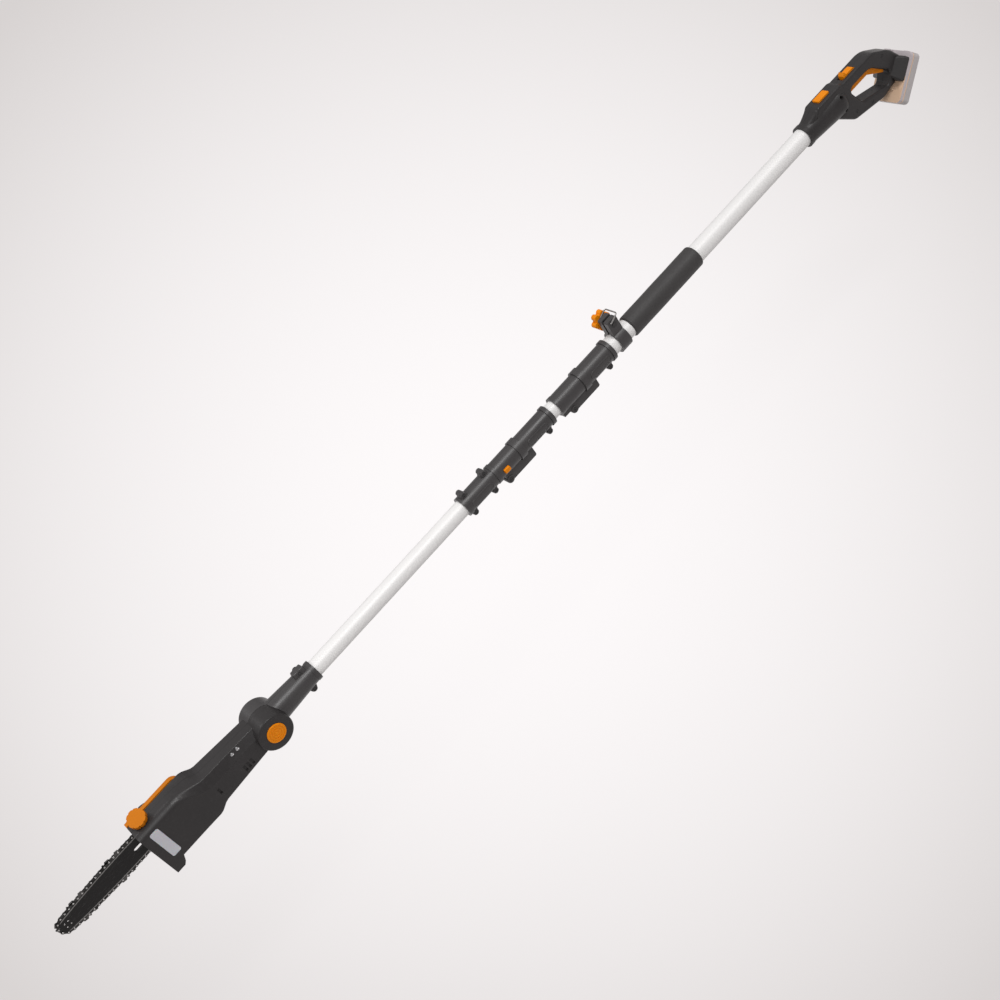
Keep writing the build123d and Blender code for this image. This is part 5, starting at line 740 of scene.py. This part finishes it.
def battery_finish(name, case, plate, **more):
    """Battery plastic: peach as far as the plate's depth, and the case's colour past it."""
    values = {"Face": PEACH, "Case": case, "Plate": plate, **more}
    return surface(name, faced, values, FINE_RELIEF)


dress(battery_finish("battery_face", LILAC, plate=0.0014, Top=-0.012), "battery_front")
dress(battery_finish("battery_case", PALE_GREY, plate=0.0), "battery_rear", "battery_latch")
dress(battery_finish("battery_joint", PALE_GREY, plate=0.05), "battery_band")

# Floor: a wide pale paper sweep under the tool, with a painted pool of light: its glow is
# brightest round one spot.
# It is clear from underneath, so that the tool's lower side can be looked at.
FLOOR_SIDE, FLOOR_Z = 60.0, -0.45
PAINTED_POOL_EDGE, PAPER_GLOW = 0.9078, 0.88
PAINTED_POOL_BRIGHT, PAINTED_POOL_DIM = (1.05, 1.02, 1.025, 1), (0.71, 0.675, 0.668, 1)
EYE = Vector((-0.9654, -1.7691, 1.4388))
LOOK = Vector((0.22495, 0.74641, -0.62631)).normalized()
corners = [(-1, -1), (1, -1), (1, 1), (-1, 1)]
floor_mesh = bpy.data.meshes.new("floor")
floor_mesh.from_pydata(
    [(x * FLOOR_SIDE, y * FLOOR_SIDE, FLOOR_Z) for x, y in corners], [], [(0, 1, 2, 3)]
)
floor = bpy.data.objects.new("floor", floor_mesh)
bpy.context.scene.collection.objects.link(floor)
paper = bpy.data.materials.new("pale_paper")
paper.use_nodes = True
tree = paper.node_tree
shader = tree.nodes["Principled BSDF"]
shader.inputs["Base Color"].default_value = (0.5, 0.49, 0.485, 1)
shader.inputs["Roughness"].default_value = 0.9
shader.inputs["Specular IOR Level"].default_value = 0.0
# Painted pool of light: the glow's colour is brightest round the line from EYE along LOOK and dims
# outwards, with no lamp behind it.
painted_pool_bearing = vectors(tree, "SUBTRACT", put(tree, "TexCoord").outputs["Object"], EYE)
painted_pool_bearing = put(tree, "VectorMath", {"operation": "NORMALIZE"}, i0=painted_pool_bearing).outputs[0]
painted_pool_bearing = vectors(tree, "DOT_PRODUCT", painted_pool_bearing, LOOK, "Value")
painted_pool = blend_colour(tree, ramp(tree, painted_pool_bearing, start=1.0, end=PAINTED_POOL_EDGE), PAINTED_POOL_BRIGHT, PAINTED_POOL_DIM)
glow = put(tree, "Emission", Strength=1.0, Color=painted_pool)
path = put(tree, "LightPath").outputs
seen = maths(tree, "MAXIMUM", path["Is Camera Ray"], path["Is Glossy Ray"])
seen = maths(tree, "MAXIMUM", seen, path["Is Transmission Ray"])
seen = maths(tree, "MULTIPLY", seen, PAPER_GLOW)
sheet = put(tree, "MixShader", Fac=seen, i1=shader.outputs[0], i2=glow.outputs[0])
below = put(tree, "NewGeometry").outputs["Backfacing"]
clear = put(tree, "BsdfTransparent").outputs[0]
sheet = put(tree, "MixShader", Fac=below, i1=sheet.outputs[0], i2=clear)
tree.links.new(sheet.outputs[0], tree.nodes["Material Output"].inputs["Surface"])
floor.data.materials.append(paper)

# Light: a studio with a bright ceiling and darker walls, one broad high lamp over the user's
# left shoulder, and two panels that draw the highlights on the mouldings.
WALLS, CEILING = (0.20, 0.198, 0.196, 1), (0.66, 0.653, 0.648, 1)
BACKDROP = (0.78, 0.76, 0.755, 1)
world = bpy.data.worlds.new("studio")
bpy.context.scene.world = world
world.use_nodes = True
tree = world.node_tree
facing = put(tree, "SeparateXYZ", Vector=put(tree, "TexCoord").outputs["Generated"])
height = ramp(tree, facing.outputs["Z"], start=-0.1, end=0.9, kind="SMOOTHSTEP")
room = blend_colour(tree, height, WALLS, CEILING)
room = blend_colour(tree, put(tree, "LightPath").outputs["Is Camera Ray"], room, BACKDROP)
tree.links.new(room, tree.nodes["Background"].inputs["Color"])
LAMP_AIM = Vector((-0.35, 0, 0))


def lamp(kind, name, spot, size, power):
    """Lamp at a spot, turned towards the tool; size is a sun's angle or a square panel's side."""
    light = bpy.data.lights.new(name, kind)
    light.energy = power
    if kind == "SUN":
        light.angle = size
    else:
        light.size = size
    made = bpy.data.objects.new(name, light)
    made.location = spot
    made.rotation_euler = (LAMP_AIM - Vector(spot)).to_track_quat("-Z", "Y").to_euler()
    bpy.context.scene.collection.objects.link(made)


lamp("SUN", "key", (0.05, -0.84, 1.78), size=math.radians(20), power=1.44)
lamp("AREA", "edge", (-1.9, 1.3, 2.0), size=0.9, power=14)
lamp("AREA", "front", (-1.5, -1.7, 1.9), size=0.5, power=5)

# Camera: stands above the user's left side and looks down on the tool.
# It is rolled so that the pole runs up the picture's diagonal.
level = Vector((0.97437, -0.17232, 0.14460))
rise = Vector((0.0, 0.6428, 0.7660))
roll = math.radians(47.62)
right = (level * math.cos(roll) - rise * math.sin(roll)).normalized()
up = right.cross(LOOK).normalized()
eye = bpy.data.cameras.new("eye")
eye.sensor_width, eye.lens = 36.0, 54.0
eye.clip_start, eye.clip_end = 0.1, 100.0
camera = bpy.data.objects.new("camera", eye)
turn = Matrix((right, up, -LOOK)).transposed().to_4x4()
camera.matrix_world = Matrix.Translation(EYE) @ turn
bpy.context.scene.collection.objects.link(camera)
bpy.context.scene.camera = camera
bpy.context.scene.view_settings.view_transform = "Standard"
